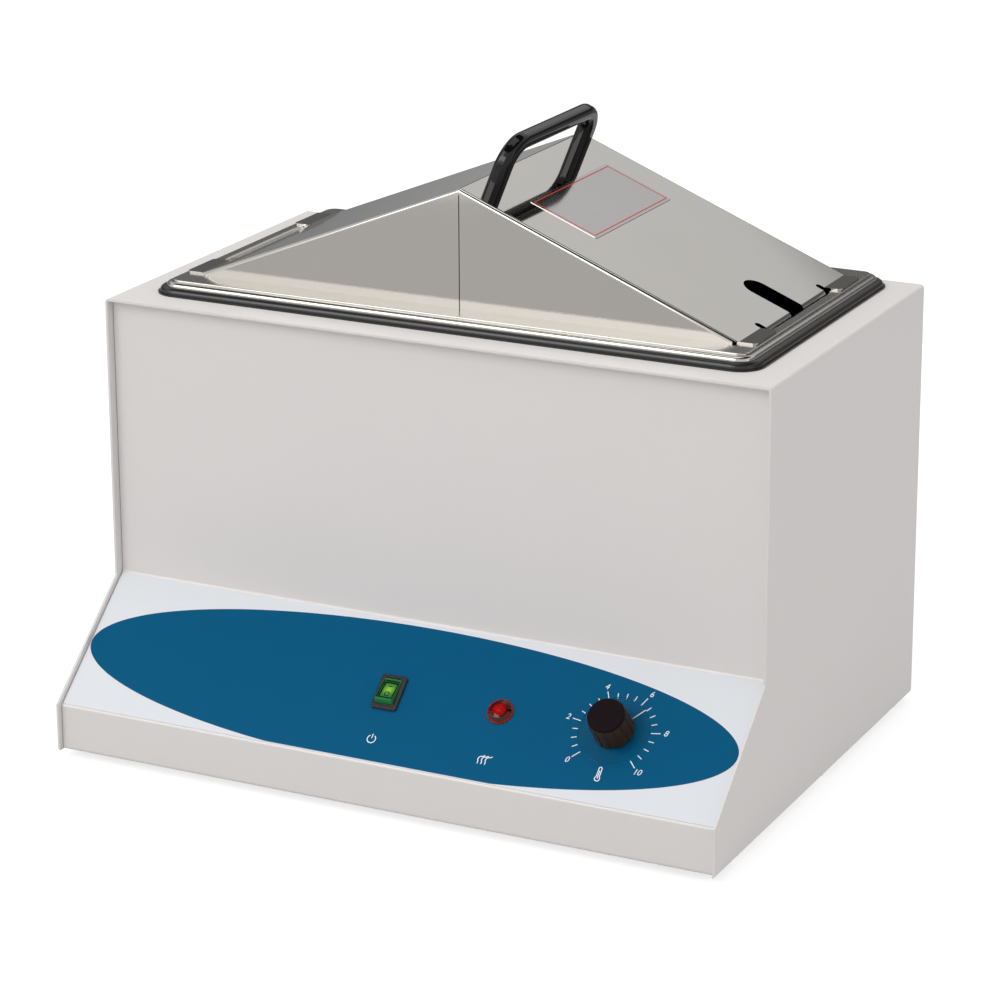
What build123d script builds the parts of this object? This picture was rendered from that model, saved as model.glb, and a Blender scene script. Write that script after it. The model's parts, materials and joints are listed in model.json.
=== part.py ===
from build123d import *
import os
from math import atan2, cos, degrees, hypot, radians, sin, tan

os.makedirs("parts", exist_ok=True)

# A small unstirred laboratory water bath: a folded steel casing with a sloping
# control console, a drawn stainless tank heated from below, and a lift-off
# gable lid. Millimetres, +Z up, -Y is the console side. The origin is on the
# bench, under the centre of the whole instrument.

# Tank sizes, which the casing and the lid follow
tank_length = 325.0
tank_width = 176.0
tank_corner = 8.6
tank_wall = 1.0
tank_depth = 150.0
tank_draft = 3.0
mouth_end_margin = 9.5
mouth_side_margin = 19.0
mouth_length = tank_length - 2 * mouth_end_margin
mouth_width = tank_width - 2 * mouth_side_margin
mouth_corner = 38.0
mouth_fillet = 2.0
floor_fillet = 14.0
rim_height = 7.0
shoulder_height = 6.0
shoulder_inset = 3.2
shoulder_fillet = 2.2
step_fillet = 0.6
skirt_seat = 2.9
hole_clearance = 1.5

# Casing sizes
casing_height = 225.0
side_margin = 20.0
front_margin = 21.3
rear_margin = 10.2
console_depth = 59.5
kick_height = 25.5
console_height = 76.7
sheet = 1.2
fold = 2.0
panel_gap = 0.3
upper_recess = 5.2
console_recess = 3.0
flange = 12.0
rear_flange = 10.0
casing_width = tank_length + 2 * side_margin
tank_from_front = console_depth + front_margin + tank_width / 2
casing_depth = tank_from_front + tank_width / 2 + rear_margin

# Foot sizes
foot_height = 4.0
foot_radius = 9.0
foot_inset = 26.0
foot_taper = 6.0
foot_pocket_depth = 2.6
foot_head_radius = 4.0
foot_head_height = 1.8

# Screw sizes
screw_radius = 1.95
screw_clearance = 0.25
thread_clearance = 0.05
head_radius = 3.8
head_height = 1.6
driver_length = 3.6
driver_width = 0.8
driver_depth = 0.9
screw_tail = 4.0
nut_radius = 4.0
nut_height = 3.2
nut_thread_show = 1.0
base_screw_front = 34.0
base_screw_middle = 10.0
base_screw_rear = 20.0
rear_screw_inset = 22.0
front_foot_extra = 4.0

# Rim gasket sizes
gasket_lip = 4.5
gasket_lip_height = 0.8
gasket_lip_step = 1.0
gasket_height = 3.9
gasket_fillet = 2.8
gasket_seat = 5.0

# Heater and insulation sizes
heater_margin = 18.0
heater_thickness = 3.0
heater_corner = 8.0
plate_thickness = 1.5
plate_overlap = 2.0
pad_overlap = 5.0
pad_thickness = 18.0
jacket_thickness = 12.0
soft_gap = 0.3
jacket_top_gap = 3.0
support_end_margin = 48.0
support_side_margin = 27.0
support_length = mouth_length - 2 * support_end_margin
support_width = mouth_width - 2 * support_side_margin
support_foot = 18.0

# Control overlay sizes, measured up the console
console_run = hypot(console_depth, console_height - kick_height)
overlay_thickness = 0.4
overlay_start = 2.4
overlay_end_reach = 3.2
overlay_end = console_run + overlay_end_reach
overlay_side_gap = 0.4
controls_up = (overlay_start + overlay_end) / 2

# Thermostat and knob sizes
knob_from_side = 67.3
knob_x = casing_width / 2 - knob_from_side
knob_up = controls_up
spindle_radius = 3.0
spindle_tail = 1.0
running_clearance = 0.05
spindle_hole_clearance = 0.8
dial_radius = 18.2
dial_thickness = 1.0
dial_gap = 0.3
knob_base_radius = 10.3
knob_top_radius = 9.8
knob_height = 13.6
knob_cap_height = 1.5
knob_cap_inset = 0.5
knob_cap_bevel = 0.5
flute_count = 14
flute_radius = 0.55
spindle_grip = 10.0
thermostat_width = 42.0
thermostat_length = 34.0
thermostat_depth = 26.0
thermostat_plate = 1.5
thermostat_plate_corner = 3.0
thermostat_ear = 2.0
thermostat_corner = 2.0
thermostat_screw_spacing = 28.0
thermostat_screw_radius = 1.5
thermostat_head_radius = 2.5

# Indicator lamp sizes
lamp_to_knob = 61.0
lamp_drop = 0.85
lamp_x = knob_x - lamp_to_knob
lamp_up = controls_up - lamp_drop
lens_radius = 6.75
lens_rim_height = 1.0
lens_step_radius = 5.9
lens_bevel_start = 1.5
lens_bevel_end = 2.5
lens_window_radius = 4.5
lens_height = 2.8
lamp_barrel_radius = 5.0
lamp_barrel_length = 22.0
lamp_nut_radius = 7.5
lamp_nut_height = 2.5
lamp_blade_spread = 2.2
lamp_blade_width = 2.9

# Rocker switch sizes
switch_to_lamp = 60.9
switch_drop = 1.45
switch_x = lamp_x - switch_to_lamp
switch_up = controls_up - switch_drop
switch_length = 19.0
switch_width = 13.7
bezel_thickness = 2.2
bezel_bevel = 0.8
bezel_corner = 1.1
switch_body_length = 17.2
switch_body_width = 11.8
switch_body_depth = 15.0
rocker_radius = 7.1
rocker_width = 9.4
rocker_top = 2.6
rocker_bottom = 3.6
rocker_tilt = 11.0
rocker_gap = 0.3
rocker_pivot = 0.9
pivot_radius = 1.0
pivot_length = 0.9
window_depth = 1.0
window_rim = 0.9
window_corner = 1.0
blade_length = 8.0
blade_width = 4.8
blade_thickness = 0.8
blade_spread = 3.1
blade_row = 5.0

# Sensor sizes
bulb_radius = 3.0
bulb_length = 74.0
bulb_x = 15.0
bulb_height = 112.0
capillary_radius = 0.8
capillary_bend = 5.0
capillary_room = 22.0
capillary_rise = 14.0
capillary_drop = 16.0
capillary_lead = 6.0
capillary_stand_off = 15.4
clip_width = 8.0
clip_thickness = 0.8
clip_ear = 7.0
cutout_x = -70.0
cutout_radius = 8.0
cutout_depth = 9.0
cutout_flange = 11.0
cutout_flange_thickness = 1.0
cutout_flange_height = 14.0
cutout_blade_spread = 3.5

# Mains inlet sizes
inlet_from_side = 60.5
inlet_x = casing_width / 2 - inlet_from_side
inlet_z = 52.0
inlet_width = 50.0
inlet_height = 34.0
inlet_flange = 2.4
inlet_corner = 3.0
inlet_edge = 0.6
inlet_body_corner = 0.8
inlet_hole_corner = 1.0
inlet_body_width = 28.0
inlet_body_height = 31.0
inlet_body_depth = 26.0
socket_width = 24.6
socket_height = 16.4
socket_depth = 17.0
socket_lift = 5.6
socket_bevel = 4.6
pin_length = 11.0
pin_width = 4.0
pin_thickness = 2.0
pin_spread = 7.0
pin_drop = 2.0
pin_edge = 0.5
inlet_screw_spacing = 40.0
inlet_screw_radius = 1.5
inlet_head_radius = 2.95
inlet_nut_radius = 3.1
inlet_nut_height = 2.4
drawer_width = 22.0
drawer_height = 7.6
drawer_depth = 23.0
drawer_drop = 9.6
drawer_gap = 0.3
drawer_wall = 1.0
drawer_front = 2.0
finger_notch_height = 2.4
finger_notch_depth = 1.2
fuse_radius = 2.5
fuse_length = 19.2
fuse_depth = 8.0

# Terminal block and earth stud sizes
block_to_knob = 75.2
block_x = knob_x - block_to_knob
block_from_front = 60.0
block_length = 36.0
block_width = 18.0
block_foot_height = 8.4
block_head_height = 5.6
block_head_gap = 2.0
block_corner = 1.0
block_ways = 3
block_screw_rows = 8.0
block_screw_radius = 1.8
block_screw_depth = 4.0
earth_to_block = 44.0
earth_x = block_x + earth_to_block
earth_washer_radius = 5.0
earth_washer = 1.0
earth_stud_height = 14.0

# Lid sizes
lid_end_margin = 13.5
lid_side_margin = 17.0
lid_half_width = tank_length / 2 - lid_end_margin
lid_length = tank_width - 2 * lid_side_margin
lid_rise = 60.0
lid_wall = 1.0
lid_fold = 2.0
seam_gap = 0.5
seam_top = 3.1
tab_end_margin = 4.5
tab_reach = tank_length / 2 - tab_end_margin
tab_length = 27.0
tab_offset = 2.0
tab_corner = 2.0
lip_end_margin = 11.0
lip_reach = tank_length / 2 - lip_end_margin
lip_root = 2.0
lip_drop = 7.0
lip_fold = 3.4
relief_width = 4.0
relief_depth = 4.0
slot_width = 16.0
slot_from_eave = 28.1

# Lid handle sizes
handle_slope_offset = 10.5
handle_shift = -3.5
handle_end_margin = 23.0
handle_screw_spacing = lid_length - 2 * handle_end_margin
handle_leg = 10.0
handle_clearance = 21.5
handle_grip = 7.8
handle_width = 8.5
handle_outer_bend = 17.0
handle_inner_bend = 8.0
handle_fillet = 3.3
handle_screw_depth = 12.0

# Label film sizes
film_start = 26.8
film_end = 66.5
film_front = 28.0
film_rear = 23.7
film_length = lid_length - film_front - film_rear
film_thickness = 0.25
film_corner = 1.0

# Derived places
front = -(casing_depth + inlet_flange) / 2
rear = front + casing_depth
half = casing_width / 2
floor_z = foot_height
top_z = foot_height + casing_height
slope_angle = atan2(console_height - kick_height, console_depth)
tank_y = front + tank_from_front
rim_top = top_z + rim_height
base_top = floor_z + 2 * sheet
back_face = rear - sheet


def console_z(y, depth):
    """Height of a plane that lies depth inside the console edge of the side panels."""
    return floor_z + kick_height + (y - front) * tan(slope_angle) - depth / cos(slope_angle)


console_face = Plane(
    origin=(
        0,
        front + console_recess * sin(slope_angle),
        floor_z + kick_height - console_recess * cos(slope_angle),
    ),
    x_dir=(1, 0, 0),
    z_dir=(0, -sin(slope_angle), cos(slope_angle)),
)
console_back = console_face.offset(-sheet)
overlay_face = console_face.offset(overlay_thickness)
tank_mouth = Plane(origin=(0, tank_y, rim_top), x_dir=(1, 0, 0), z_dir=(0, 0, -1))
rear_view = Plane(origin=(0, rear, 0), x_dir=(-1, 0, 0), z_dir=(0, 1, 0))

panel_half = half - sheet - panel_gap
kick_y = front + console_recess
upper_y = front + console_depth + upper_recess
base_screw_places = [
    (side * (half - flange / 2), y)
    for side in (-1, 1)
    for y in (
        front + base_screw_front,
        front + casing_depth / 2 + base_screw_middle,
        rear - base_screw_rear,
    )
]
rear_screw_places = [
    (side * (half - rear_flange / 2), floor_z + height)
    for side in (-1, 1)
    for height in (rear_screw_inset, casing_height / 2, casing_height - rear_screw_inset)
]
foot_places = [
    (side * (half - foot_inset), y)
    for side in (-1, 1)
    for y in (front + foot_inset + front_foot_extra, rear - foot_inset)
]

bridge_screws = [
    (side * (support_length / 2 + support_foot / 2), tank_y + along * support_width / 4)
    for side in (-1, 1)
    for along in (-1, 1)
]

# Casing wrap: top and both sides in one folded sheet
with BuildPart() as casing_wrap:
    with BuildSketch(Plane.XZ.offset(-back_face)):
        with BuildLine():
            FilletPolyline(
                (half - flange, floor_z),
                (half, floor_z),
                (half, top_z),
                (-half, top_z),
                (-half, floor_z),
                (-half + flange, floor_z),
                radius=fold,
            )
            offset(amount=sheet, side=Side.LEFT)
        make_face()
    extrude(amount=casing_depth - sheet)
    with BuildSketch(Plane.YZ):
        with BuildLine():
            Polyline(
                (front - fold, floor_z + kick_height),
                (front, floor_z + kick_height),
                (front + console_depth, floor_z + console_height),
                (front + console_depth, top_z + fold),
                (front - fold, top_z + fold),
                close=True,
            )
        make_face()
    extrude(amount=half + fold, both=True, mode=Mode.SUBTRACT)
    with BuildSketch(Plane.XY.offset(floor_z)):
        with Locations((0, kick_y + (flange + panel_gap) / 2 - console_recess / 2)):
            Rectangle(2 * (half - sheet), flange + panel_gap + console_recess)
    extrude(amount=fold, mode=Mode.SUBTRACT)
    with BuildSketch(Plane.XZ.offset(-back_face)):
        with Locations((0, (floor_z + top_z) / 2)):
            Rectangle(2 * (half - sheet), casing_height - 2 * sheet)
        with Locations((0, (floor_z + top_z - rear_flange) / 2)):
            Rectangle(2 * (half - rear_flange), casing_height - rear_flange, mode=Mode.SUBTRACT)
    extrude(amount=sheet)
    with BuildSketch(Plane.XY.offset(top_z)):
        with Locations((0, tank_y)):
            RectangleRounded(
                mouth_length + 2 * (tank_wall + hole_clearance),
                mouth_width + 2 * (tank_wall + hole_clearance),
                mouth_corner + tank_wall + hole_clearance,
            )
    extrude(amount=-sheet, mode=Mode.SUBTRACT)
    with BuildSketch(Plane.XZ.offset(-back_face)):
        with Locations(*rear_screw_places):
            Circle(screw_radius + thread_clearance)
    extrude(amount=sheet, mode=Mode.SUBTRACT)
    with BuildSketch(Plane.XY.offset(floor_z)):
        with Locations(*base_screw_places):
            Circle(screw_radius + screw_clearance)
    extrude(amount=sheet, mode=Mode.SUBTRACT)
casing_wrap.part.label = "casing_wrap"
export_step(casing_wrap.part, "parts/casing_wrap.step")

# Front panel: upper face, console slope and kick in one folded sheet
with BuildPart() as front_panel:
    with BuildSketch(Plane.YZ):
        with BuildLine():
            FilletPolyline(
                (kick_y + flange, floor_z),
                (kick_y, floor_z),
                (kick_y, console_z(kick_y, console_recess)),
                (upper_y, console_z(upper_y, console_recess)),
                (upper_y, top_z - sheet),
                (upper_y + flange, top_z - sheet),
                radius=fold,
            )
            offset(amount=sheet, side=Side.RIGHT)
        make_face()
    extrude(amount=panel_half, both=True)
    with BuildSketch(Plane.XZ.offset(-upper_y)):
        with Locations((half, top_z), (-half, top_z)):
            Rectangle(2 * (fold + panel_gap), 2 * fold)
    extrude(amount=-flange, mode=Mode.SUBTRACT)
    with BuildSketch(console_face):
        with Locations((switch_x, switch_up)):
            Rectangle(switch_body_width + 2 * panel_gap, switch_body_length + 2 * panel_gap)
        with Locations((lamp_x, lamp_up)):
            Circle(lamp_barrel_radius + panel_gap)
        with Locations((knob_x, knob_up)):
            Circle(spindle_radius + spindle_hole_clearance)
    extrude(amount=-sheet, mode=Mode.SUBTRACT)
    with Locations(console_face):
        with Locations(
            (knob_x - thermostat_screw_spacing / 2, knob_up),
            (knob_x + thermostat_screw_spacing / 2, knob_up),
        ):
            CounterSinkHole(
                thermostat_screw_radius + thread_clearance,
                thermostat_head_radius + thread_clearance,
                depth=sheet,
                counter_sink_angle=90,
            )
front_panel.part.label = "front_panel"
export_step(front_panel.part, "parts/front_panel.step")

# Printed control overlay on the console slope
with BuildPart() as control_overlay:
    with BuildSketch(console_face):
        with Locations((0, (overlay_start + overlay_end) / 2)):
            Rectangle(2 * (panel_half - overlay_side_gap), overlay_end - overlay_start)
        with Locations((switch_x, switch_up)):
            Rectangle(
                switch_body_width + 2 * panel_gap, switch_body_length + 2 * panel_gap, mode=Mode.SUBTRACT
            )
        with Locations((lamp_x, lamp_up)):
            Circle(lamp_barrel_radius + panel_gap, mode=Mode.SUBTRACT)
        with Locations((knob_x, knob_up)):
            Circle(spindle_radius + spindle_hole_clearance, mode=Mode.SUBTRACT)
    extrude(amount=overlay_thickness)
control_overlay.part.label = "control_overlay"
export_step(control_overlay.part, "parts/control_overlay.step")

# Rear panel with louvre slots and the inlet cut-out
vent_rows = 5
vent_row_pitch = 12.0
vent_length = 34.0
vent_slot = 4.0
vent_height = 150.0
vent_columns = 3
vent_column_pitch = 60.0
with BuildPart() as rear_panel:
    with BuildSketch(rear_view):
        with Locations((0, (floor_z + top_z) / 2)):
            RectangleRounded(casing_width - 2 * panel_gap, casing_height - 2 * panel_gap, fold)
        with Locations((0, vent_height)):
            with GridLocations(vent_column_pitch, vent_row_pitch, vent_columns, vent_rows):
                SlotOverall(vent_length, vent_slot, mode=Mode.SUBTRACT)
        with Locations((-inlet_x, inlet_z)):
            RectangleRounded(
                inlet_body_width + 2 * panel_gap,
                inlet_body_height + 2 * panel_gap,
                inlet_hole_corner,
                mode=Mode.SUBTRACT,
            )
            with GridLocations(inlet_screw_spacing, 1, 2, 1):
                Circle(inlet_screw_radius + thread_clearance, mode=Mode.SUBTRACT)
        with Locations(*rear_screw_places):
            Circle(screw_radius + screw_clearance, mode=Mode.SUBTRACT)
    extrude(amount=-sheet)
rear_panel.part.label = "rear_panel"
export_step(rear_panel.part, "parts/rear_panel.step")

# Pan-head screws that hold the rear panel
with BuildPart() as rear_screws:
    with BuildSketch(rear_view):
        with Locations(*rear_screw_places):
            Circle(head_radius)
    extrude(amount=head_height)
    fillet(rear_screws.faces().sort_by(Axis.Y)[-6:].edges(), head_height / 2)
    with BuildSketch(rear_view):
        with Locations(*rear_screw_places):
            Circle(screw_radius)
    extrude(amount=-(2 * sheet + screw_tail))
    with BuildSketch(rear_view.offset(head_height)):
        with Locations(*rear_screw_places):
            Rectangle(driver_length, driver_width)
            Rectangle(driver_width, driver_length)
    extrude(amount=-driver_depth, mode=Mode.SUBTRACT)
rear_screws.part.label = "rear_screws"
export_step(rear_screws.part, "parts/rear_screws.step")

# Base plate with cooling slots and an upturned rear flange
base_front = kick_y + sheet + panel_gap
base_slot_length = 40.0
base_slot_width = 5.0
base_slot_pitch = 14.0
base_slot_count = 5
base_column_pitch = 90.0
base_column_count = 2
with BuildPart() as base_plate:
    with BuildSketch(Plane.YZ):
        with BuildLine():
            FilletPolyline(
                (base_front + fold, floor_z + sheet),
                (back_face, floor_z + sheet),
                (back_face, floor_z + sheet + flange),
                radius=fold,
            )
            offset(amount=sheet, side=Side.LEFT)
        make_face()
    extrude(amount=half - fold - panel_gap, both=True)
    with BuildSketch(Plane.XZ.offset(-back_face)):
        with Locations((half, base_top), (-half, base_top)):
            Rectangle(2 * (rear_flange + panel_gap), 3 * flange)
    extrude(amount=fold, mode=Mode.SUBTRACT)
    with BuildSketch(Plane.XY.offset(base_top)):
        with Locations((0, tank_y)):
            with GridLocations(base_column_pitch, base_slot_pitch, base_column_count, base_slot_count):
                SlotOverall(base_slot_length, base_slot_width)
        with Locations(*foot_places):
            Circle(screw_radius + screw_clearance)
        with Locations(*base_screw_places, *bridge_screws):
            Circle(screw_radius + thread_clearance)
    extrude(amount=-sheet, mode=Mode.SUBTRACT)
base_plate.part.label = "base_plate"
export_step(base_plate.part, "parts/base_plate.step")

# Screws that hold the base plate to the side flanges
with BuildPart() as base_screws:
    with BuildSketch(Plane.XY.offset(floor_z)):
        with Locations(*base_screw_places):
            Circle(head_radius)
    extrude(amount=-head_height)
    with BuildSketch(Plane.XY.offset(floor_z)):
        with Locations(*base_screw_places):
            Circle(screw_radius)
    extrude(amount=2 * sheet + screw_tail)
base_screws.part.label = "base_screws"
export_step(base_screws.part, "parts/base_screws.step")

# Four moulded rubber feet
with BuildPart() as rubber_feet:
    with BuildSketch(Plane.XY.offset(floor_z + sheet)):
        with Locations(*foot_places):
            Circle(foot_radius)
    extrude(amount=-(floor_z + sheet), taper=foot_taper)
    with BuildSketch(Plane.XY):
        with Locations(*foot_places):
            Circle(foot_head_radius + screw_clearance)
    extrude(amount=foot_pocket_depth, mode=Mode.SUBTRACT)
    with BuildSketch(Plane.XY):
        with Locations(*foot_places):
            Circle(screw_radius + screw_clearance)
    extrude(amount=floor_z + sheet, mode=Mode.SUBTRACT)
rubber_feet.part.label = "rubber_feet"
export_step(rubber_feet.part, "parts/rubber_feet.step")

# Screws through the feet and their nuts on the base plate
with BuildPart() as foot_screws:
    with BuildSketch(Plane.XY.offset(foot_pocket_depth)):
        with Locations(*foot_places):
            Circle(foot_head_radius)
    extrude(amount=-foot_head_height)
    with BuildSketch(Plane.XY.offset(foot_pocket_depth)):
        with Locations(*foot_places):
            Circle(screw_radius)
    extrude(amount=base_top + nut_height + nut_thread_show - foot_pocket_depth)
foot_screws.part.label = "foot_screws"
export_step(foot_screws.part, "parts/foot_screws.step")

with BuildPart() as foot_nuts:
    with BuildSketch(Plane.XY.offset(base_top)):
        with Locations(*foot_places):
            RegularPolygon(nut_radius, 6)
            Circle(screw_radius + thread_clearance, mode=Mode.SUBTRACT)
    extrude(amount=nut_height)
foot_nuts.part.label = "foot_nuts"
export_step(foot_nuts.part, "parts/foot_nuts.step")

# Space inside the tank: a drafted well with a rounded floor
with BuildPart() as tank_cavity:
    with BuildSketch(tank_mouth):
        RectangleRounded(mouth_length, mouth_width, mouth_corner)
    extrude(amount=tank_depth, taper=tank_draft)
    fillet(tank_cavity.faces().sort_by(Axis.Z)[0].edges(), floor_fillet)

# Drawn stainless tank with a stepped, rounded rim
with BuildPart() as tank:
    with BuildSketch(Plane.XY.offset(top_z + skirt_seat)):
        with Locations((0, tank_y)):
            RectangleRounded(tank_length, tank_width, tank_corner)
    extrude(amount=shoulder_height - skirt_seat)
    fillet(tank.faces().sort_by(Axis.Z)[-1].edges(), shoulder_fillet)
    with BuildSketch(Plane.XY.offset(top_z + shoulder_height - tank_wall)):
        with Locations((0, tank_y)):
            RectangleRounded(
                tank_length - 2 * shoulder_inset, tank_width - 2 * shoulder_inset, tank_corner - shoulder_inset
            )
    extrude(amount=rim_height - shoulder_height + tank_wall)
    fillet(tank.faces().sort_by(Axis.Z)[-1].edges(), step_fillet)
    with BuildSketch(Plane.XY.offset(top_z + skirt_seat)):
        with Locations((0, tank_y)):
            RectangleRounded(
                tank_length - 2 * tank_wall, tank_width - 2 * tank_wall, tank_corner - tank_wall
            )
    extrude(amount=shoulder_height - skirt_seat - tank_wall, mode=Mode.SUBTRACT)
    with BuildSketch(Plane.XY.offset(top_z + skirt_seat)):
        with Locations((0, tank_y)):
            RectangleRounded(
                tank_length - 2 * (shoulder_inset + tank_wall),
                tank_width - 2 * (shoulder_inset + tank_wall),
                tank_corner - shoulder_inset - tank_wall,
            )
    extrude(amount=rim_height - skirt_seat - tank_wall, mode=Mode.SUBTRACT)
    with BuildSketch(tank_mouth):
        RectangleRounded(mouth_length + 2 * tank_wall, mouth_width + 2 * tank_wall, mouth_corner + tank_wall)
    extrude(amount=tank_depth + tank_wall, taper=tank_draft)
    fillet(tank.faces().sort_by(Axis.Z)[0].edges(), floor_fillet + tank_wall)
    add(tank_cavity.part, mode=Mode.SUBTRACT)
    mouth_edges = tank.faces().filter_by(Plane.XY).sort_by(Axis.Z)[-1].inner_wires()[0].edges()
    fillet(mouth_edges, mouth_fillet)
tank.part.label = "tank"
export_step(tank.part, "parts/tank.step")

# Rubber gasket between the rim and the casing top
with BuildPart() as rim_gasket:
    with BuildSketch(Plane.XY.offset(top_z)):
        with Locations((0, tank_y)):
            RectangleRounded(
                tank_length + 2 * gasket_lip, tank_width + 2 * gasket_lip, tank_corner + gasket_lip
            )
    extrude(amount=gasket_lip_height)
    with BuildSketch(Plane.XY.offset(top_z)):
        with Locations((0, tank_y)):
            RectangleRounded(
                tank_length + 2 * (gasket_lip - gasket_lip_step),
                tank_width + 2 * (gasket_lip - gasket_lip_step),
                tank_corner + gasket_lip - gasket_lip_step,
            )
    extrude(amount=gasket_height)
    fillet(rim_gasket.faces().sort_by(Axis.Z)[-1].edges(), gasket_fillet)
    with BuildSketch(Plane.XY.offset(top_z + skirt_seat)):
        with Locations((0, tank_y)):
            RectangleRounded(tank_length, tank_width, tank_corner)
    extrude(amount=gasket_height, mode=Mode.SUBTRACT)
    with BuildSketch(Plane.XY.offset(top_z)):
        with Locations((0, tank_y)):
            RectangleRounded(
                tank_length - 2 * gasket_seat, tank_width - 2 * gasket_seat, tank_corner - gasket_seat
            )
    extrude(amount=gasket_height, mode=Mode.SUBTRACT)
rim_gasket.part.label = "rim_gasket"
export_step(rim_gasket.part, "parts/rim_gasket.step")

# Heater mat, clamp plate and insulation pad under the tank floor
tank_bottom = rim_top - tank_depth - tank_wall
draft_shrink = tank_depth * tan(radians(tank_draft))
heater_length = mouth_length - 2 * (draft_shrink + heater_margin)
heater_width = mouth_width - 2 * (draft_shrink + heater_margin)
with BuildPart() as heater_mat:
    with BuildSketch(Plane.XY.offset(tank_bottom)):
        with Locations((0, tank_y)):
            RectangleRounded(heater_length, heater_width, heater_corner)
    extrude(amount=-heater_thickness)
heater_mat.part.label = "heater_mat"
export_step(heater_mat.part, "parts/heater_mat.step")

plate_z = tank_bottom - heater_thickness
with BuildPart() as heater_plate:
    with BuildSketch(Plane.XY.offset(plate_z)):
        with Locations((0, tank_y)):
            RectangleRounded(heater_length + 2 * plate_overlap, heater_width + 2 * plate_overlap, heater_corner)
    extrude(amount=-plate_thickness)
heater_plate.part.label = "heater_plate"
export_step(heater_plate.part, "parts/heater_plate.step")

pad_z = plate_z - plate_thickness
with BuildPart() as insulation_pad:
    with BuildSketch(Plane.XY.offset(pad_z)):
        with Locations((0, tank_y)):
            RectangleRounded(heater_length + 2 * pad_overlap, heater_width + 2 * pad_overlap, heater_corner)
    extrude(amount=-pad_thickness)
insulation_pad.part.label = "insulation_pad"
export_step(insulation_pad.part, "parts/insulation_pad.step")

# Folded bridge that carries the pad, heater and tank floor
bridge_top = pad_z - pad_thickness
with BuildPart() as tank_support:
    with BuildSketch(Plane.XZ.offset(-(tank_y + support_width / 2))):
        with BuildLine():
            FilletPolyline(
                (-support_length / 2 - support_foot, base_top + sheet),
                (-support_length / 2, base_top + sheet),
                (-support_length / 2, bridge_top),
                (support_length / 2, bridge_top),
                (support_length / 2, base_top + sheet),
                (support_length / 2 + support_foot, base_top + sheet),
                radius=fold,
            )
            offset(amount=sheet, side=Side.RIGHT)
        make_face()
    extrude(amount=support_width)
    with BuildSketch(Plane.XY.offset(base_top)):
        with Locations(*bridge_screws):
            Circle(screw_radius + screw_clearance)
    extrude(amount=2 * sheet, mode=Mode.SUBTRACT)
tank_support.part.label = "tank_support"
export_step(tank_support.part, "parts/tank_support.step")

with BuildPart() as support_screws:
    with BuildSketch(Plane.XY.offset(base_top + sheet)):
        with Locations(*bridge_screws):
            Circle(head_radius)
    extrude(amount=head_height)
    with BuildSketch(Plane.XY.offset(base_top + sheet)):
        with Locations(*bridge_screws):
            Circle(screw_radius)
    extrude(amount=-2 * sheet)
support_screws.part.label = "support_screws"
export_step(support_screws.part, "parts/support_screws.step")

# Fibre insulation jacket round the tank walls
jacket_top = top_z - sheet - jacket_top_gap
jacket_mouth_shrink = (rim_top - jacket_top) * tan(radians(tank_draft))
jacket_height = jacket_top - tank_bottom - floor_fillet
jacket_plane = Plane(origin=(0, tank_y, jacket_top), x_dir=(1, 0, 0), z_dir=(0, 0, -1))
jacket_grow = tank_wall + soft_gap - jacket_mouth_shrink
wall_top_y = tank_y - mouth_width / 2 - tank_wall
wall_y = wall_top_y + (rim_top - bulb_height) * tan(radians(tank_draft))
tank_front_wall = Plane(
    origin=(0, wall_y, bulb_height),
    x_dir=(1, 0, 0),
    z_dir=(0, -cos(radians(tank_draft)), -sin(radians(tank_draft))),
)
with BuildPart() as insulation_jacket:
    with BuildSketch(jacket_plane):
        RectangleRounded(
            mouth_length + 2 * (jacket_grow + jacket_thickness),
            mouth_width + 2 * (jacket_grow + jacket_thickness),
            mouth_corner + jacket_grow + jacket_thickness,
        )
    extrude(amount=jacket_height, taper=tank_draft)
    with BuildSketch(jacket_plane):
        RectangleRounded(
            mouth_length + 2 * jacket_grow, mouth_width + 2 * jacket_grow, mouth_corner + jacket_grow
        )
    extrude(amount=jacket_height, taper=tank_draft, mode=Mode.SUBTRACT)
    with BuildSketch(tank_front_wall):
        with Locations((bulb_x + (capillary_room - clip_ear) / 2, 0)):
            Rectangle(bulb_length + capillary_room + clip_ear, 2 * (bulb_radius + clip_ear + 2 * soft_gap))
        with Locations((cutout_x, 0)):
            Rectangle(2 * cutout_flange + clip_ear, 2 * cutout_flange)
    extrude(amount=2 * jacket_thickness, mode=Mode.SUBTRACT)
insulation_jacket.part.label = "insulation_jacket"
export_step(insulation_jacket.part, "parts/insulation_jacket.step")

# Rocker switch: moulded housing with its bezel on the overlay
pivot_n = overlay_thickness + rocker_pivot
pocket_half = rocker_radius + rocker_gap
with BuildPart() as switch_housing:
    with BuildSketch(overlay_face):
        with Locations((switch_x, switch_up)):
            RectangleRounded(switch_width, switch_length, bezel_corner)
    extrude(amount=bezel_thickness)
    chamfer(switch_housing.faces().sort_by(console_face.location.z_axis)[-1].edges(), bezel_bevel)
    with BuildSketch(overlay_face):
        with Locations((switch_x, switch_up)):
            Rectangle(switch_body_width, switch_body_length)
    extrude(amount=-switch_body_depth)
    with BuildSketch(overlay_face.offset(bezel_thickness)):
        with Locations((switch_x, switch_up)):
            Rectangle(rocker_width + rocker_gap, 2 * pocket_half)
    extrude(amount=-(bezel_thickness + rocker_radius), mode=Mode.SUBTRACT)
    with BuildSketch(Plane(origin=console_face.from_local_coords((switch_x, switch_up, pivot_n)),
                           x_dir=console_face.y_dir, z_dir=(1, 0, 0))):
        Circle(pivot_radius + running_clearance)
    extrude(amount=rocker_width / 2 + pivot_length + rocker_gap, both=True, mode=Mode.SUBTRACT)
switch_housing.part.label = "switch_housing"
export_step(switch_housing.part, "parts/switch_housing.step")

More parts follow.
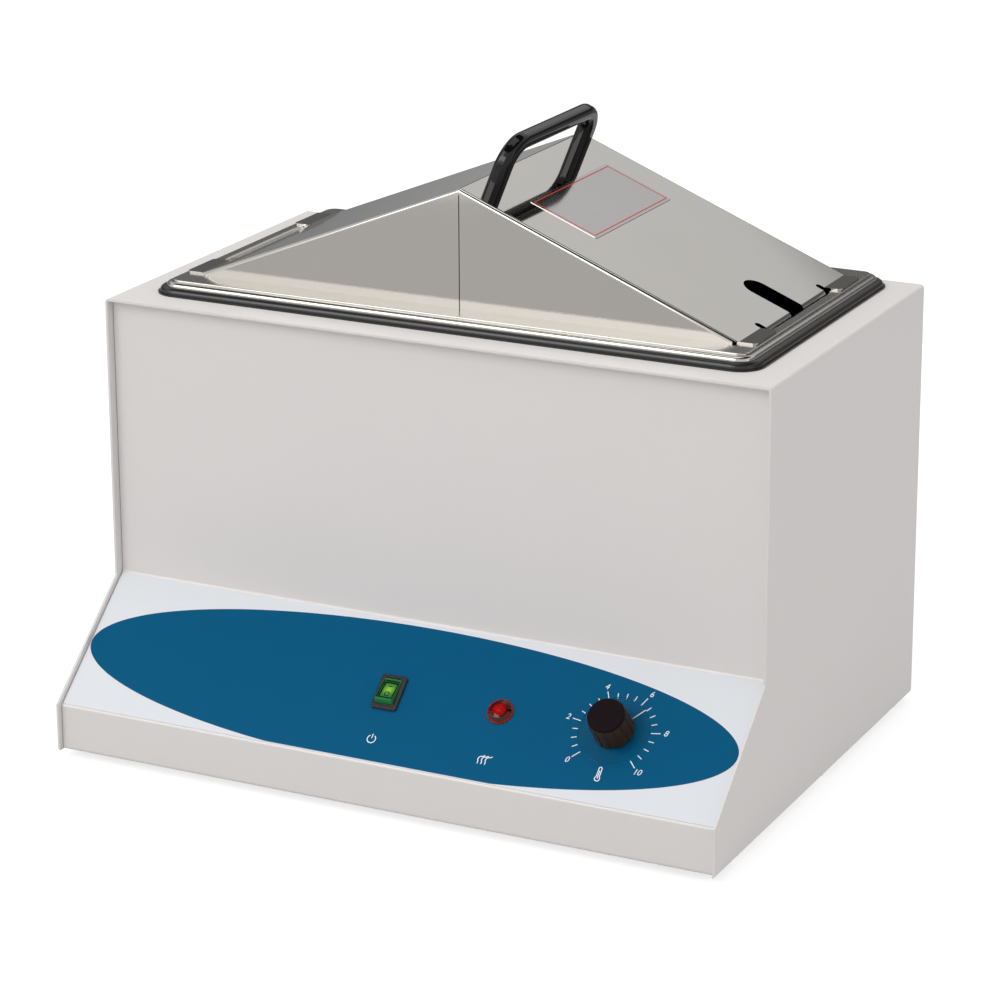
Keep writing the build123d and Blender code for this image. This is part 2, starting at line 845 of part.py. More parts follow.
# Rocker button, shown pressed at its upper end
rocker_axis = Plane(
    origin=console_face.from_local_coords((switch_x, switch_up, pivot_n)),
    x_dir=console_face.y_dir,
    z_dir=(1, 0, 0),
)
rocker_angle = slope_angle - radians(rocker_tilt)
rocker_plane = Plane(
    origin=rocker_axis.origin,
    x_dir=(0, cos(rocker_angle), sin(rocker_angle)),
    z_dir=(1, 0, 0),
)
with BuildPart() as switch_rocker:
    with BuildSketch(rocker_plane):
        Circle(rocker_radius)
        with Locations((0, rocker_top + rocker_radius)):
            Rectangle(4 * rocker_radius, 2 * rocker_radius, mode=Mode.SUBTRACT)
        with Locations((0, -rocker_bottom - rocker_radius)):
            Rectangle(4 * rocker_radius, 2 * rocker_radius, mode=Mode.SUBTRACT)
    extrude(amount=rocker_width / 2, both=True)
    window_length = 2 * (rocker_radius - rocker_top) + window_rim
    rocker_face = Plane(
        origin=rocker_plane.from_local_coords((0, rocker_top, 0)),
        x_dir=(1, 0, 0),
        z_dir=rocker_plane.y_dir,
    )
    with BuildSketch(rocker_face):
        RectangleRounded(rocker_width - 2 * window_rim, window_length, window_corner)
    extrude(amount=-window_depth, mode=Mode.SUBTRACT)
    with BuildSketch(rocker_axis):
        Circle(pivot_radius)
    extrude(amount=rocker_width / 2 + pivot_length, both=True)
switch_rocker.part.label = "switch_rocker"
export_step(switch_rocker.part, "parts/switch_rocker.step")

# Push-on blades at the back of the switch
blade_places = [
    (switch_x + across * blade_spread, switch_up + along * blade_row)
    for across in (-1, 1)
    for along in (-1, 1)
]
with BuildPart() as switch_blades:
    with BuildSketch(overlay_face.offset(-switch_body_depth)):
        with Locations(*blade_places):
            Rectangle(blade_width, blade_thickness)
    extrude(amount=-blade_length)
switch_blades.part.label = "switch_blades"
export_step(switch_blades.part, "parts/switch_blades.step")

# Red indicator lamp: low bevelled lens, barrel and its nut behind the panel
lamp_axis_plane = Plane(
    origin=overlay_face.from_local_coords((lamp_x, lamp_up, 0)),
    x_dir=(1, 0, 0),
    z_dir=overlay_face.y_dir * -1,
)
with BuildPart() as lamp_lens:
    with BuildSketch(lamp_axis_plane):
        with BuildLine():
            Polyline(
                (0, lens_height),
                (0, 0),
                (lens_radius, 0),
                (lens_radius, lens_rim_height),
                (lens_step_radius, lens_rim_height),
                (lens_step_radius, lens_bevel_start),
                (lens_window_radius, lens_bevel_end),
            )
            TangentArc((0, lens_height), (lens_window_radius, lens_bevel_end), tangent=(1, 0))
        make_face()
    revolve(axis=Axis(overlay_face.from_local_coords((lamp_x, lamp_up, 0)), overlay_face.z_dir))
lamp_lens.part.label = "lamp_lens"
export_step(lamp_lens.part, "parts/lamp_lens.step")

with BuildPart() as lamp_body:
    with BuildSketch(overlay_face):
        with Locations((lamp_x, lamp_up)):
            Circle(lamp_barrel_radius)
    extrude(amount=-lamp_barrel_length)
    with BuildSketch(overlay_face.offset(-lamp_barrel_length)):
        with Locations((lamp_x - lamp_blade_spread, lamp_up), (lamp_x + lamp_blade_spread, lamp_up)):
            Rectangle(blade_thickness, lamp_blade_width)
    extrude(amount=-blade_length)
lamp_body.part.label = "lamp_body"
export_step(lamp_body.part, "parts/lamp_body.step")

with BuildPart() as lamp_nut:
    with BuildSketch(console_back):
        with Locations((lamp_x, lamp_up)):
            RegularPolygon(lamp_nut_radius, 6)
            Circle(lamp_barrel_radius + thread_clearance, mode=Mode.SUBTRACT)
    extrude(amount=-lamp_nut_height)
lamp_nut.part.label = "lamp_nut"
export_step(lamp_nut.part, "parts/lamp_nut.step")

# Thermostat body on its mounting plate behind the console
with BuildPart() as thermostat_body:
    with BuildSketch(console_back):
        with Locations((knob_x, knob_up)):
            RectangleRounded(thermostat_width, thermostat_length, thermostat_plate_corner)
    extrude(amount=-thermostat_plate)
    with BuildSketch(console_back.offset(-thermostat_plate)):
        with Locations((knob_x, knob_up)):
            RectangleRounded(
                thermostat_width - 2 * thermostat_ear, thermostat_length, thermostat_corner
            )
    extrude(amount=-thermostat_depth)
    with BuildSketch(console_back):
        with Locations((knob_x, knob_up)):
            Circle(spindle_radius + running_clearance)
            with GridLocations(thermostat_screw_spacing, 1, 2, 1):
                Circle(thermostat_screw_radius + thread_clearance)
    extrude(amount=-spindle_grip, mode=Mode.SUBTRACT)
thermostat_body.part.label = "thermostat_body"
export_step(thermostat_body.part, "parts/thermostat_body.step")

with BuildPart() as thermostat_screws:
    with Locations(console_face):
        with Locations(
            (knob_x - thermostat_screw_spacing / 2, knob_up),
            (knob_x + thermostat_screw_spacing / 2, knob_up),
        ):
            Cylinder(
                thermostat_screw_radius, spindle_grip - sheet, align=(Align.CENTER, Align.CENTER, Align.MAX)
            )
            Cone(
                thermostat_screw_radius,
                thermostat_head_radius,
                thermostat_head_radius - thermostat_screw_radius,
                align=(Align.CENTER, Align.CENTER, Align.MAX),
            )
thermostat_screws.part.label = "thermostat_screws"
export_step(thermostat_screws.part, "parts/thermostat_screws.step")

# Control spindle, clear dial disc, fluted knob and cap
dial_plane = overlay_face.offset(dial_gap)
knob_plane = dial_plane.offset(dial_thickness)
with BuildPart() as control_spindle:
    with BuildSketch(console_back.offset(spindle_tail - spindle_grip)):
        with Locations((knob_x, knob_up)):
            Circle(spindle_radius)
    extrude(
        amount=2 * spindle_grip - spindle_tail + sheet + overlay_thickness + dial_gap + dial_thickness
    )
control_spindle.part.label = "control_spindle"
export_step(control_spindle.part, "parts/control_spindle.step")

with BuildPart() as dial_disc:
    with BuildSketch(dial_plane):
        with Locations((knob_x, knob_up)):
            Circle(dial_radius)
            Circle(spindle_radius + running_clearance, mode=Mode.SUBTRACT)
    extrude(amount=dial_thickness)
dial_disc.part.label = "dial_disc"
export_step(dial_disc.part, "parts/dial_disc.step")

knob_draft = degrees(atan2(knob_base_radius - knob_top_radius, knob_height))
with BuildPart() as knob:
    with BuildSketch(knob_plane):
        with Locations((knob_x, knob_up)):
            Circle(knob_base_radius)
            with PolarLocations(knob_base_radius, flute_count):
                Circle(flute_radius, mode=Mode.SUBTRACT)
    extrude(amount=knob_height, taper=knob_draft)
    with BuildSketch(knob_plane):
        with Locations((knob_x, knob_up)):
            Circle(spindle_radius + running_clearance)
    extrude(amount=spindle_grip, mode=Mode.SUBTRACT)
knob.part.label = "knob"
export_step(knob.part, "parts/knob.step")

with BuildPart() as knob_cap:
    with BuildSketch(knob_plane.offset(knob_height)):
        with Locations((knob_x, knob_up)):
            Circle(knob_top_radius - knob_cap_inset)
    extrude(amount=knob_cap_height)
    chamfer(knob_cap.faces().sort_by(console_face.location.z_axis)[-1].edges(), knob_cap_bevel)
knob_cap.part.label = "knob_cap"
export_step(knob_cap.part, "parts/knob_cap.step")

# Sensor bulb clipped to the tank wall, with its capillary
bulb_centre = bulb_radius + soft_gap
bulb_line = tank_front_wall.offset(bulb_centre)
with BuildPart() as sensor_bulb:
    with BuildSketch(Plane(origin=bulb_line.from_local_coords((bulb_x - bulb_length / 2, 0, 0)),
                           x_dir=bulb_line.y_dir, z_dir=(1, 0, 0))):
        Circle(bulb_radius)
    extrude(amount=bulb_length)
    fillet(sensor_bulb.edges(), bulb_radius / 3)
sensor_bulb.part.label = "sensor_bulb"
export_step(sensor_bulb.part, "parts/sensor_bulb.step")

clip_places = [bulb_x - bulb_length / 3, bulb_x + bulb_length / 3]
with BuildPart() as bulb_clips:
    for place in clip_places:
        clip_section = Plane(
            origin=tank_front_wall.from_local_coords((place - clip_width / 2, 0, 0)),
            x_dir=tank_front_wall.y_dir,
            z_dir=(1, 0, 0),
        )
        clip_inner = bulb_radius + soft_gap
        with BuildSketch(clip_section):
            with Locations((0, bulb_centre)):
                Circle(clip_inner + clip_thickness)
            with Locations((0, clip_thickness / 2)):
                Rectangle(2 * (clip_inner + clip_ear), clip_thickness)
            with Locations((0, bulb_centre / 2)):
                Rectangle(2 * (clip_inner + clip_thickness), bulb_centre)
            with Locations((0, bulb_centre)):
                Circle(clip_inner, mode=Mode.SUBTRACT)
            with Locations((0, bulb_centre / 2)):
                Rectangle(2 * clip_inner, bulb_centre, mode=Mode.SUBTRACT)
            with Locations((0, -clip_ear)):
                Rectangle(4 * clip_ear, 2 * clip_ear, mode=Mode.SUBTRACT)
        extrude(amount=clip_width)
bulb_clips.part.label = "bulb_clips"
export_step(bulb_clips.part, "parts/bulb_clips.step")

capillary_exit = console_back.from_local_coords(
    (knob_x, knob_up + thermostat_length / 2, -thermostat_plate - thermostat_depth / 2)
)
capillary_end = bulb_line.from_local_coords((bulb_x + bulb_length / 2, 0, 0))
capillary_points = [
    capillary_exit,
    capillary_exit + console_back.y_dir * capillary_rise,
    capillary_end + Vector(capillary_room + capillary_drop, -capillary_stand_off, -capillary_drop),
    capillary_end + Vector(capillary_room, -capillary_stand_off, 0),
    capillary_end + Vector(capillary_lead, 0, 0),
    capillary_end,
]
with BuildPart() as capillary_tube:
    with BuildLine() as capillary_route:
        FilletPolyline(*capillary_points, radius=capillary_bend)
    with BuildSketch(Plane(origin=capillary_exit, z_dir=console_back.y_dir)):
        Circle(capillary_radius)
    sweep(path=capillary_route.wires()[0])
capillary_tube.part.label = "capillary_tube"
export_step(capillary_tube.part, "parts/capillary_tube.step")

# Over-temperature cut-out on the tank wall
with BuildPart() as overheat_cutout:
    with BuildSketch(tank_front_wall):
        with Locations((cutout_x, 0)):
            SlotOverall(2 * (cutout_flange + clip_ear / 2 - soft_gap), cutout_flange_height)
    extrude(amount=cutout_flange_thickness)
    with BuildSketch(tank_front_wall):
        with Locations((cutout_x, 0)):
            Circle(cutout_radius)
    extrude(amount=cutout_depth)
    with BuildSketch(tank_front_wall.offset(cutout_depth)):
        with Locations((cutout_x - cutout_blade_spread, 0), (cutout_x + cutout_blade_spread, 0)):
            Rectangle(blade_thickness, blade_width)
    extrude(amount=blade_length)
overheat_cutout.part.label = "overheat_cutout"
export_step(overheat_cutout.part, "parts/overheat_cutout.step")

# Mains inlet in the rear panel, with a socket and a fuse drawer slot
inlet_plane = Plane(origin=(inlet_x, rear, inlet_z), x_dir=(-1, 0, 0), z_dir=(0, 1, 0))
inlet_front = inlet_plane.offset(inlet_flange)
with BuildPart() as mains_inlet:
    with BuildSketch(inlet_plane):
        RectangleRounded(inlet_width, inlet_height, inlet_corner)
    extrude(amount=inlet_flange)
    fillet(mains_inlet.faces().sort_by(Axis.Y)[-1].edges(), inlet_edge)
    with BuildSketch(inlet_plane):
        RectangleRounded(inlet_body_width, inlet_body_height, inlet_body_corner)
    extrude(amount=-inlet_body_depth)
    with BuildSketch(inlet_front):
        with BuildLine():
            Polyline(
                (-socket_width / 2, socket_lift - socket_height / 2),
                (socket_width / 2, socket_lift - socket_height / 2),
                (socket_width / 2, socket_lift + socket_height / 2 - socket_bevel),
                (socket_width / 2 - socket_bevel, socket_lift + socket_height / 2),
                (-socket_width / 2 + socket_bevel, socket_lift + socket_height / 2),
                (-socket_width / 2, socket_lift + socket_height / 2 - socket_bevel),
                close=True,
            )
        make_face()
    extrude(amount=-socket_depth, mode=Mode.SUBTRACT)
    with BuildSketch(inlet_front):
        with Locations((0, -drawer_drop)):
            Rectangle(drawer_width + 2 * drawer_gap, drawer_height + 2 * drawer_gap)
    extrude(amount=-(drawer_depth + drawer_gap), mode=Mode.SUBTRACT)
    with Locations(inlet_front):
        with GridLocations(inlet_screw_spacing, 1, 2, 1):
            CounterSinkHole(
                inlet_screw_radius + thread_clearance,
                inlet_head_radius + thread_clearance,
                depth=inlet_flange,
                counter_sink_angle=90,
            )
mains_inlet.part.label = "mains_inlet"
export_step(mains_inlet.part, "parts/mains_inlet.step")

with BuildPart() as inlet_pins:
    with BuildSketch(inlet_front.offset(-socket_depth)):
        with Locations((-pin_spread, socket_lift - pin_drop), (pin_spread, socket_lift - pin_drop)):
            Rectangle(pin_thickness, pin_width)
        with Locations((0, socket_lift + pin_drop)):
            Rectangle(pin_thickness, pin_width)
    extrude(amount=pin_length)
    fillet(inlet_pins.faces().sort_by(Axis.Y)[-3:].edges(), pin_edge)
inlet_pins.part.label = "inlet_pins"
export_step(inlet_pins.part, "parts/inlet_pins.step")

with BuildPart() as inlet_screws:
    with Locations(inlet_front):
        with GridLocations(inlet_screw_spacing, 1, 2, 1):
            Cylinder(
                inlet_screw_radius,
                inlet_flange + sheet + screw_tail,
                align=(Align.CENTER, Align.CENTER, Align.MAX),
            )
            Cone(
                inlet_screw_radius,
                inlet_head_radius,
                inlet_head_radius - inlet_screw_radius,
                align=(Align.CENTER, Align.CENTER, Align.MAX),
            )
inlet_screws.part.label = "inlet_screws"
export_step(inlet_screws.part, "parts/inlet_screws.step")

with BuildPart() as inlet_nuts:
    with BuildSketch(Plane.XZ.offset(-back_face)):
        with Locations(
            (inlet_x - inlet_screw_spacing / 2, inlet_z), (inlet_x + inlet_screw_spacing / 2, inlet_z)
        ):
            RegularPolygon(inlet_nut_radius, 6)
            Circle(inlet_screw_radius + thread_clearance, mode=Mode.SUBTRACT)
    extrude(amount=inlet_nut_height)
inlet_nuts.part.label = "inlet_nuts"
export_step(inlet_nuts.part, "parts/inlet_nuts.step")

# Fuse drawer under the socket, with its glass fuse
with BuildPart() as fuse_drawer:
    with BuildSketch(inlet_front):
        with Locations((0, -drawer_drop)):
            Rectangle(drawer_width, drawer_height)
    extrude(amount=-drawer_depth)
    with BuildSketch(inlet_front.offset(-drawer_front)):
        with Locations((0, -drawer_drop + drawer_wall)):
            Rectangle(drawer_width - 2 * drawer_wall, drawer_height)
    extrude(amount=-(drawer_depth - drawer_front - drawer_wall), mode=Mode.SUBTRACT)
    with BuildSketch(inlet_front):
        with Locations((0, -drawer_drop - drawer_height / 2)):
            Rectangle(drawer_width / 2, finger_notch_height)
    extrude(amount=-finger_notch_depth, mode=Mode.SUBTRACT)
fuse_drawer.part.label = "fuse_drawer"
export_step(fuse_drawer.part, "parts/fuse_drawer.step")

fuse_centre = -drawer_drop + drawer_wall - drawer_height / 2 + fuse_radius
fuse_end = Plane(
    origin=inlet_front.from_local_coords((-fuse_length / 2, fuse_centre, -fuse_depth)),
    x_dir=(0, 0, 1),
    z_dir=(-1, 0, 0),
)
with BuildPart() as fuse:
    with BuildSketch(fuse_end):
        Circle(fuse_radius)
    extrude(amount=fuse_length)
fuse.part.label = "fuse"
export_step(fuse.part, "parts/fuse.step")

# Terminal block on the base plate
block_y = front + block_from_front
block_pitch = block_length / block_ways
with BuildPart() as terminal_block:
    with BuildSketch(Plane.XY.offset(base_top)):
        with Locations((block_x, block_y)):
            Rectangle(block_length, block_width)
    extrude(amount=block_foot_height)
    with BuildSketch(Plane.XY.offset(base_top + block_foot_height)):
        with Locations((block_x, block_y)):
            with GridLocations(block_pitch, 1, block_ways, 1):
                RectangleRounded(
                    block_pitch - block_head_gap, block_width - 2 * block_head_gap, block_corner
                )
    extrude(amount=block_head_height)
    with BuildSketch(Plane.XY.offset(base_top + block_foot_height + block_head_height)):
        with Locations((block_x, block_y)):
            with GridLocations(block_pitch, block_screw_rows, block_ways, 2):
                Circle(block_screw_radius)
    extrude(amount=-block_screw_depth, mode=Mode.SUBTRACT)
terminal_block.part.label = "terminal_block"
export_step(terminal_block.part, "parts/terminal_block.step")

# Earth stud with its nut and washer
with BuildPart() as earth_stud:
    with Locations((earth_x, block_y, base_top)):
        Cylinder(earth_washer_radius, earth_washer, align=(Align.CENTER, Align.CENTER, Align.MIN))
        Cylinder(screw_radius, earth_stud_height, align=(Align.CENTER, Align.CENTER, Align.MIN))
    with BuildSketch(Plane.XY.offset(base_top + earth_washer)):
        with Locations((earth_x, block_y)):
            RegularPolygon(nut_radius, 6)
    extrude(amount=nut_height)
earth_stud.part.label = "earth_stud"
export_step(earth_stud.part, "parts/earth_stud.step")

# Gable lid: folded stainless sheet with corner tabs and turned-down lips
lid_front = tank_y - lid_length / 2
lid_rear = tank_y + lid_length / 2
eave_z = rim_top + lid_wall
apex_z = eave_z + lid_rise
pitch = atan2(lid_rise, lid_half_width)
slope_length = hypot(lid_rise, lid_half_width)
right_slope = Plane(
    origin=(0, tank_y, apex_z),
    x_dir=(cos(pitch), 0, -sin(pitch)),
    z_dir=(sin(pitch), 0, cos(pitch)),
)
left_slope = Plane(
    origin=(0, tank_y, apex_z),
    x_dir=(-cos(pitch), 0, -sin(pitch)),
    z_dir=(-sin(pitch), 0, cos(pitch)),
)
lip_length = lid_length - 2 * (tab_offset + tab_length + relief_width)
eave_overlap = lid_wall / sin(pitch)
tab_rows = (lid_front + tab_offset + tab_length / 2, lid_rear - tab_offset - tab_length / 2)
handle_screw_places = [
    (handle_slope_offset, handle_shift - handle_screw_spacing / 2),
    (handle_slope_offset, handle_shift + handle_screw_spacing / 2),
]
with BuildPart() as lid_shell:
    with BuildSketch(Plane.XZ.offset(-lid_rear)):
        with BuildLine():
            Polyline(
                (-lid_half_width, eave_z), (lid_half_width, eave_z), (0, apex_z), close=True
            )
        make_face()
    extrude(amount=lid_length)
    fold_edges = lid_shell.edges().filter_by_position(Axis.Z, eave_z + lid_wall, apex_z + lid_wall)
    fillet(fold_edges, lid_fold)
    offset(amount=-lid_wall, openings=lid_shell.faces().sort_by(Axis.Z)[0])
    for gable in (lid_rear, lid_front + lid_wall):
        with BuildSketch(Plane.XZ.offset(-gable)):
            with Locations((0, (rim_top + eave_z) / 2)):
                Rectangle(2 * (lid_half_width - eave_overlap), eave_z - rim_top)
        extrude(amount=lid_wall)
    with BuildSketch(Plane.XZ.offset(-lid_rear - seam_gap)):
        with Locations((0, (rim_top + apex_z - seam_top) / 2)):
            Rectangle(seam_gap, apex_z - seam_top - rim_top)
    extrude(amount=lid_length + 2 * seam_gap, mode=Mode.SUBTRACT)
    for side in (-1, 1):
        for tab_y in tab_rows:
            inner_x = lid_half_width - eave_overlap
            with BuildSketch(Plane.XY.offset(rim_top)):
                with Locations((side * (inner_x + tab_reach) / 2, tab_y)):
                    RectangleRounded(tab_reach - inner_x, tab_length, tab_corner)
            extrude(amount=lid_wall)
        with BuildSketch(Plane.XZ.offset(-tank_y - lip_length / 2)):
            with BuildLine():
                FilletPolyline(
                    (side * (lid_half_width - lip_root), eave_z + lip_root * tan(pitch)),
                    (side * lip_reach, eave_z - (lip_reach - lid_half_width) * tan(pitch)),
                    (side * lip_reach, eave_z - lip_drop),
                    radius=lip_fold,
                )
                offset(amount=lid_wall, side=Side.RIGHT if side > 0 else Side.LEFT)
            make_face()
        extrude(amount=lip_length)
    slot_start = slope_length - slot_from_eave
    slot_end = slope_length + 4 * lip_drop
    with BuildSketch(right_slope):
        with Locations(((slot_start + slot_width / 2 + slot_end) / 2, 0)):
            Rectangle(slot_end - slot_start - slot_width / 2, slot_width)
        with Locations((slot_start + slot_width / 2, 0)):
            Circle(slot_width / 2)
    extrude(amount=3 * lip_drop, both=True, mode=Mode.SUBTRACT)
    for plane in (right_slope, left_slope):
        with BuildSketch(plane):
            with Locations(
                (slope_length, lip_length / 2 + relief_width / 2),
                (slope_length, -lip_length / 2 - relief_width / 2),
            ):
                SlotOverall(2 * relief_depth, relief_width)
        extrude(amount=2 * lid_wall, both=True, mode=Mode.SUBTRACT)
    with BuildSketch(right_slope):
        with Locations(*handle_screw_places):
            Circle(screw_radius + screw_clearance)
    extrude(amount=-2 * lid_wall, mode=Mode.SUBTRACT)
lid_shell.part.label = "lid_shell"
export_step(lid_shell.part, "parts/lid_shell.step")

# Moulded bow handle along the ridge, square to the right slope
handle_section = Plane(
    origin=right_slope.from_local_coords((handle_slope_offset, handle_shift, 0)),
    x_dir=(0, 1, 0),
    z_dir=right_slope.x_dir,
)
handle_length = handle_screw_spacing + handle_leg
handle_height = handle_clearance + handle_grip
with BuildPart() as lid_handle:
    with BuildSketch(handle_section):
        with BuildLine():
            outer_bow = FilletPolyline(
                (-handle_length / 2, 0),
                (-handle_length / 2, handle_height),
                (handle_length / 2, handle_height),
                (handle_length / 2, 0),
                radius=handle_outer_bend,
            )
            Line((handle_length / 2, 0), (handle_length / 2 - handle_leg, 0))
            inner_bow = FilletPolyline(
                (handle_length / 2 - handle_leg, 0),
                (handle_length / 2 - handle_leg, handle_clearance),
                (-handle_length / 2 + handle_leg, handle_clearance),
                (-handle_length / 2 + handle_leg, 0),
                radius=handle_inner_bend,
            )
            Line((-handle_length / 2 + handle_leg, 0), (-handle_length / 2, 0))
        make_face()
    extrude(amount=handle_width / 2, both=True)
    bow_faces = lid_handle.faces().filter_by(Axis(handle_section.origin, handle_section.z_dir))
    bow_edges = bow_faces.edges().filter_by(
        lambda edge: right_slope.to_local_coords(edge.center()).Z > running_clearance
    )
    fillet(bow_edges, handle_fillet)
    with BuildSketch(right_slope):
        with Locations(*handle_screw_places):
            Circle(screw_radius + thread_clearance)
    extrude(amount=handle_screw_depth, mode=Mode.SUBTRACT)
lid_handle.part.label = "lid_handle"
export_step(lid_handle.part, "parts/lid_handle.step")

# Pan-head screws up into the handle from inside the lid
with BuildPart() as handle_screws:
    with BuildSketch(right_slope.offset(-lid_wall)):
        with Locations(*handle_screw_places):
            Circle(head_radius)
    extrude(amount=-head_height)
    with BuildSketch(right_slope.offset(-lid_wall)):
        with Locations(*handle_screw_places):
            Circle(screw_radius)
    extrude(amount=lid_wall + handle_screw_depth - screw_clearance)
handle_screws.part.label = "handle_screws"
export_step(handle_screws.part, "parts/handle_screws.step")

# Clear label film on the right slope
with BuildPart() as lid_label:
    with BuildSketch(right_slope):
        with Locations(((film_start + film_end) / 2, lid_front - tank_y + film_front + film_length / 2)):
            RectangleRounded(film_end - film_start, film_length, film_corner)
    extrude(amount=film_thickness)
lid_label.part.label = "lid_label"
export_step(lid_label.part, "parts/lid_label.step")
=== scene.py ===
"""Laboratory water bath: its prints, marks, finishes and studio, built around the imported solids.

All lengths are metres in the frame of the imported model. The console, the lid's slope and
each control are found from the frame, so the prints follow the solids.
"""

import json
import math

import bpy
from mathutils import Matrix, Vector


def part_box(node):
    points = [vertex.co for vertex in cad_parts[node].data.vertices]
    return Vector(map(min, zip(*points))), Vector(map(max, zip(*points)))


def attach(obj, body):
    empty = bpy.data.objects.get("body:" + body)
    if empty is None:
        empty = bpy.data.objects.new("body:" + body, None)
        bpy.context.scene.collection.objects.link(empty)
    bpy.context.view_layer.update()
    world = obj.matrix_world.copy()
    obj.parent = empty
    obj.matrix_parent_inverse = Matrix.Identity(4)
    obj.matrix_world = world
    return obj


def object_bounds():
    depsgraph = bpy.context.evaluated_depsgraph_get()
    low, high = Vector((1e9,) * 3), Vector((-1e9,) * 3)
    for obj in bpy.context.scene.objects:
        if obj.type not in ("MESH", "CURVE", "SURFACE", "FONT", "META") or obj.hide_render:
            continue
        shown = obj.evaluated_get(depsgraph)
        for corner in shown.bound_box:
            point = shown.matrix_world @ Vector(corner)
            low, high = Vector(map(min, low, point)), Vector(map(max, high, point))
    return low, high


bl_info = {
    "name": "Laboratory water bath",
    "version": (1, 0, 0),
    "blender": (4, 5, 0),
    "location": "View3D > Sidebar > Water bath",
    "description": "Prints, marks, finishes and studio for the packed water bath",
    "category": "Add Mesh",
}

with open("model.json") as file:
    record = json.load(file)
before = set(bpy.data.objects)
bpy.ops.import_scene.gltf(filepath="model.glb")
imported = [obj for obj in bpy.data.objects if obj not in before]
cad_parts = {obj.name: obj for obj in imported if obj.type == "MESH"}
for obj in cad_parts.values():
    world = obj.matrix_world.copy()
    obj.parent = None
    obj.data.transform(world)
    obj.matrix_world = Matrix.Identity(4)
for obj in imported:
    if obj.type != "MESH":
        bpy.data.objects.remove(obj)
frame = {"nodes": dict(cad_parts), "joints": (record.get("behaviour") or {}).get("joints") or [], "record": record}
CAD_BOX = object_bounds()
NODES = frame["nodes"]
MM = 0.001

# Least cosine between a face's normal and a direction, for a face that looks that way or lies square to it.
LOOKS = 0.5
SQUARE = 0.999
# Faces whose levels differ by less than this lie in one plane.
SAME_LEVEL = 0.1 * MM

# Axes of the console: to the right, up its slope and straight out of it.
KNOB_TURN = next(j for j in frame["joints"] if j["name"] == "knob_turn")
RIGHT = Vector((1, 0, 0))
BACK = Vector((0, 1, 0))
CONSOLE_OUT = Vector(KNOB_TURN["axis"]).normalized()
CONSOLE_UP = CONSOLE_OUT.cross(RIGHT)
CONSOLE = (RIGHT, CONSOLE_UP, CONSOLE_OUT)


def reach(node, direction):
    """Least and most reach of a CAD node along a direction."""
    along = [v.co.dot(direction) for v in NODES[node].data.vertices]
    return min(along), max(along)


def middle(node, direction):
    """Middle of a CAD node along a direction."""
    return sum(reach(node, direction)) / 2


def widest_face(node, towards):
    """The normal of a CAD node's largest face that looks one way."""
    faces = [f for f in NODES[node].data.polygons if f.normal.dot(towards) > LOOKS]
    return max(faces, key=lambda f: f.area).normal.copy()


def seat(axes, x, up, out):
    """The place that a piece drawn flat at the origin takes, from its distances along three axes."""
    turn = Matrix(axes).transposed().to_4x4()
    return Matrix.Translation(axes[0] * x + axes[1] * up + axes[2] * out) @ turn


# Colours


def linear(hex_colour):
    """An sRGB hex colour as linear red, green and blue."""
    parts = [int(hex_colour[i : i + 2], 16) / 255 for i in (0, 2, 4)]
    # The curve is the one that the sRGB standard gives.
    return [c / 12.92 if c <= 0.04045 else ((c + 0.055) / 1.055) ** 2.4 for c in parts]


def colour_property(name, hex_colour, description):
    """A colour that the user can change."""
    return bpy.props.FloatVectorProperty(
        name=name, description=description, subtype="COLOR", size=3, min=0, max=1,
        default=linear(hex_colour),
    )


def length_property(name, millimetres, description):
    """A length that the user can change."""
    return bpy.props.FloatProperty(
        name=name, description=description, subtype="DISTANCE", unit="LENGTH", min=0, precision=4,
        default=millimetres * MM,
    )


def angle_property(name, angle, description):
    """An angle that the user can change."""
    return bpy.props.FloatProperty(
        name=name, description=description, subtype="ANGLE", unit="ROTATION",
        default=math.radians(angle),
    )


def power_property(name, watts, description):
    """The power of a lamp, which the user can change."""
    return bpy.props.FloatProperty(
        name=name, description=description, subtype="POWER", min=0, default=watts
    )


# Settings


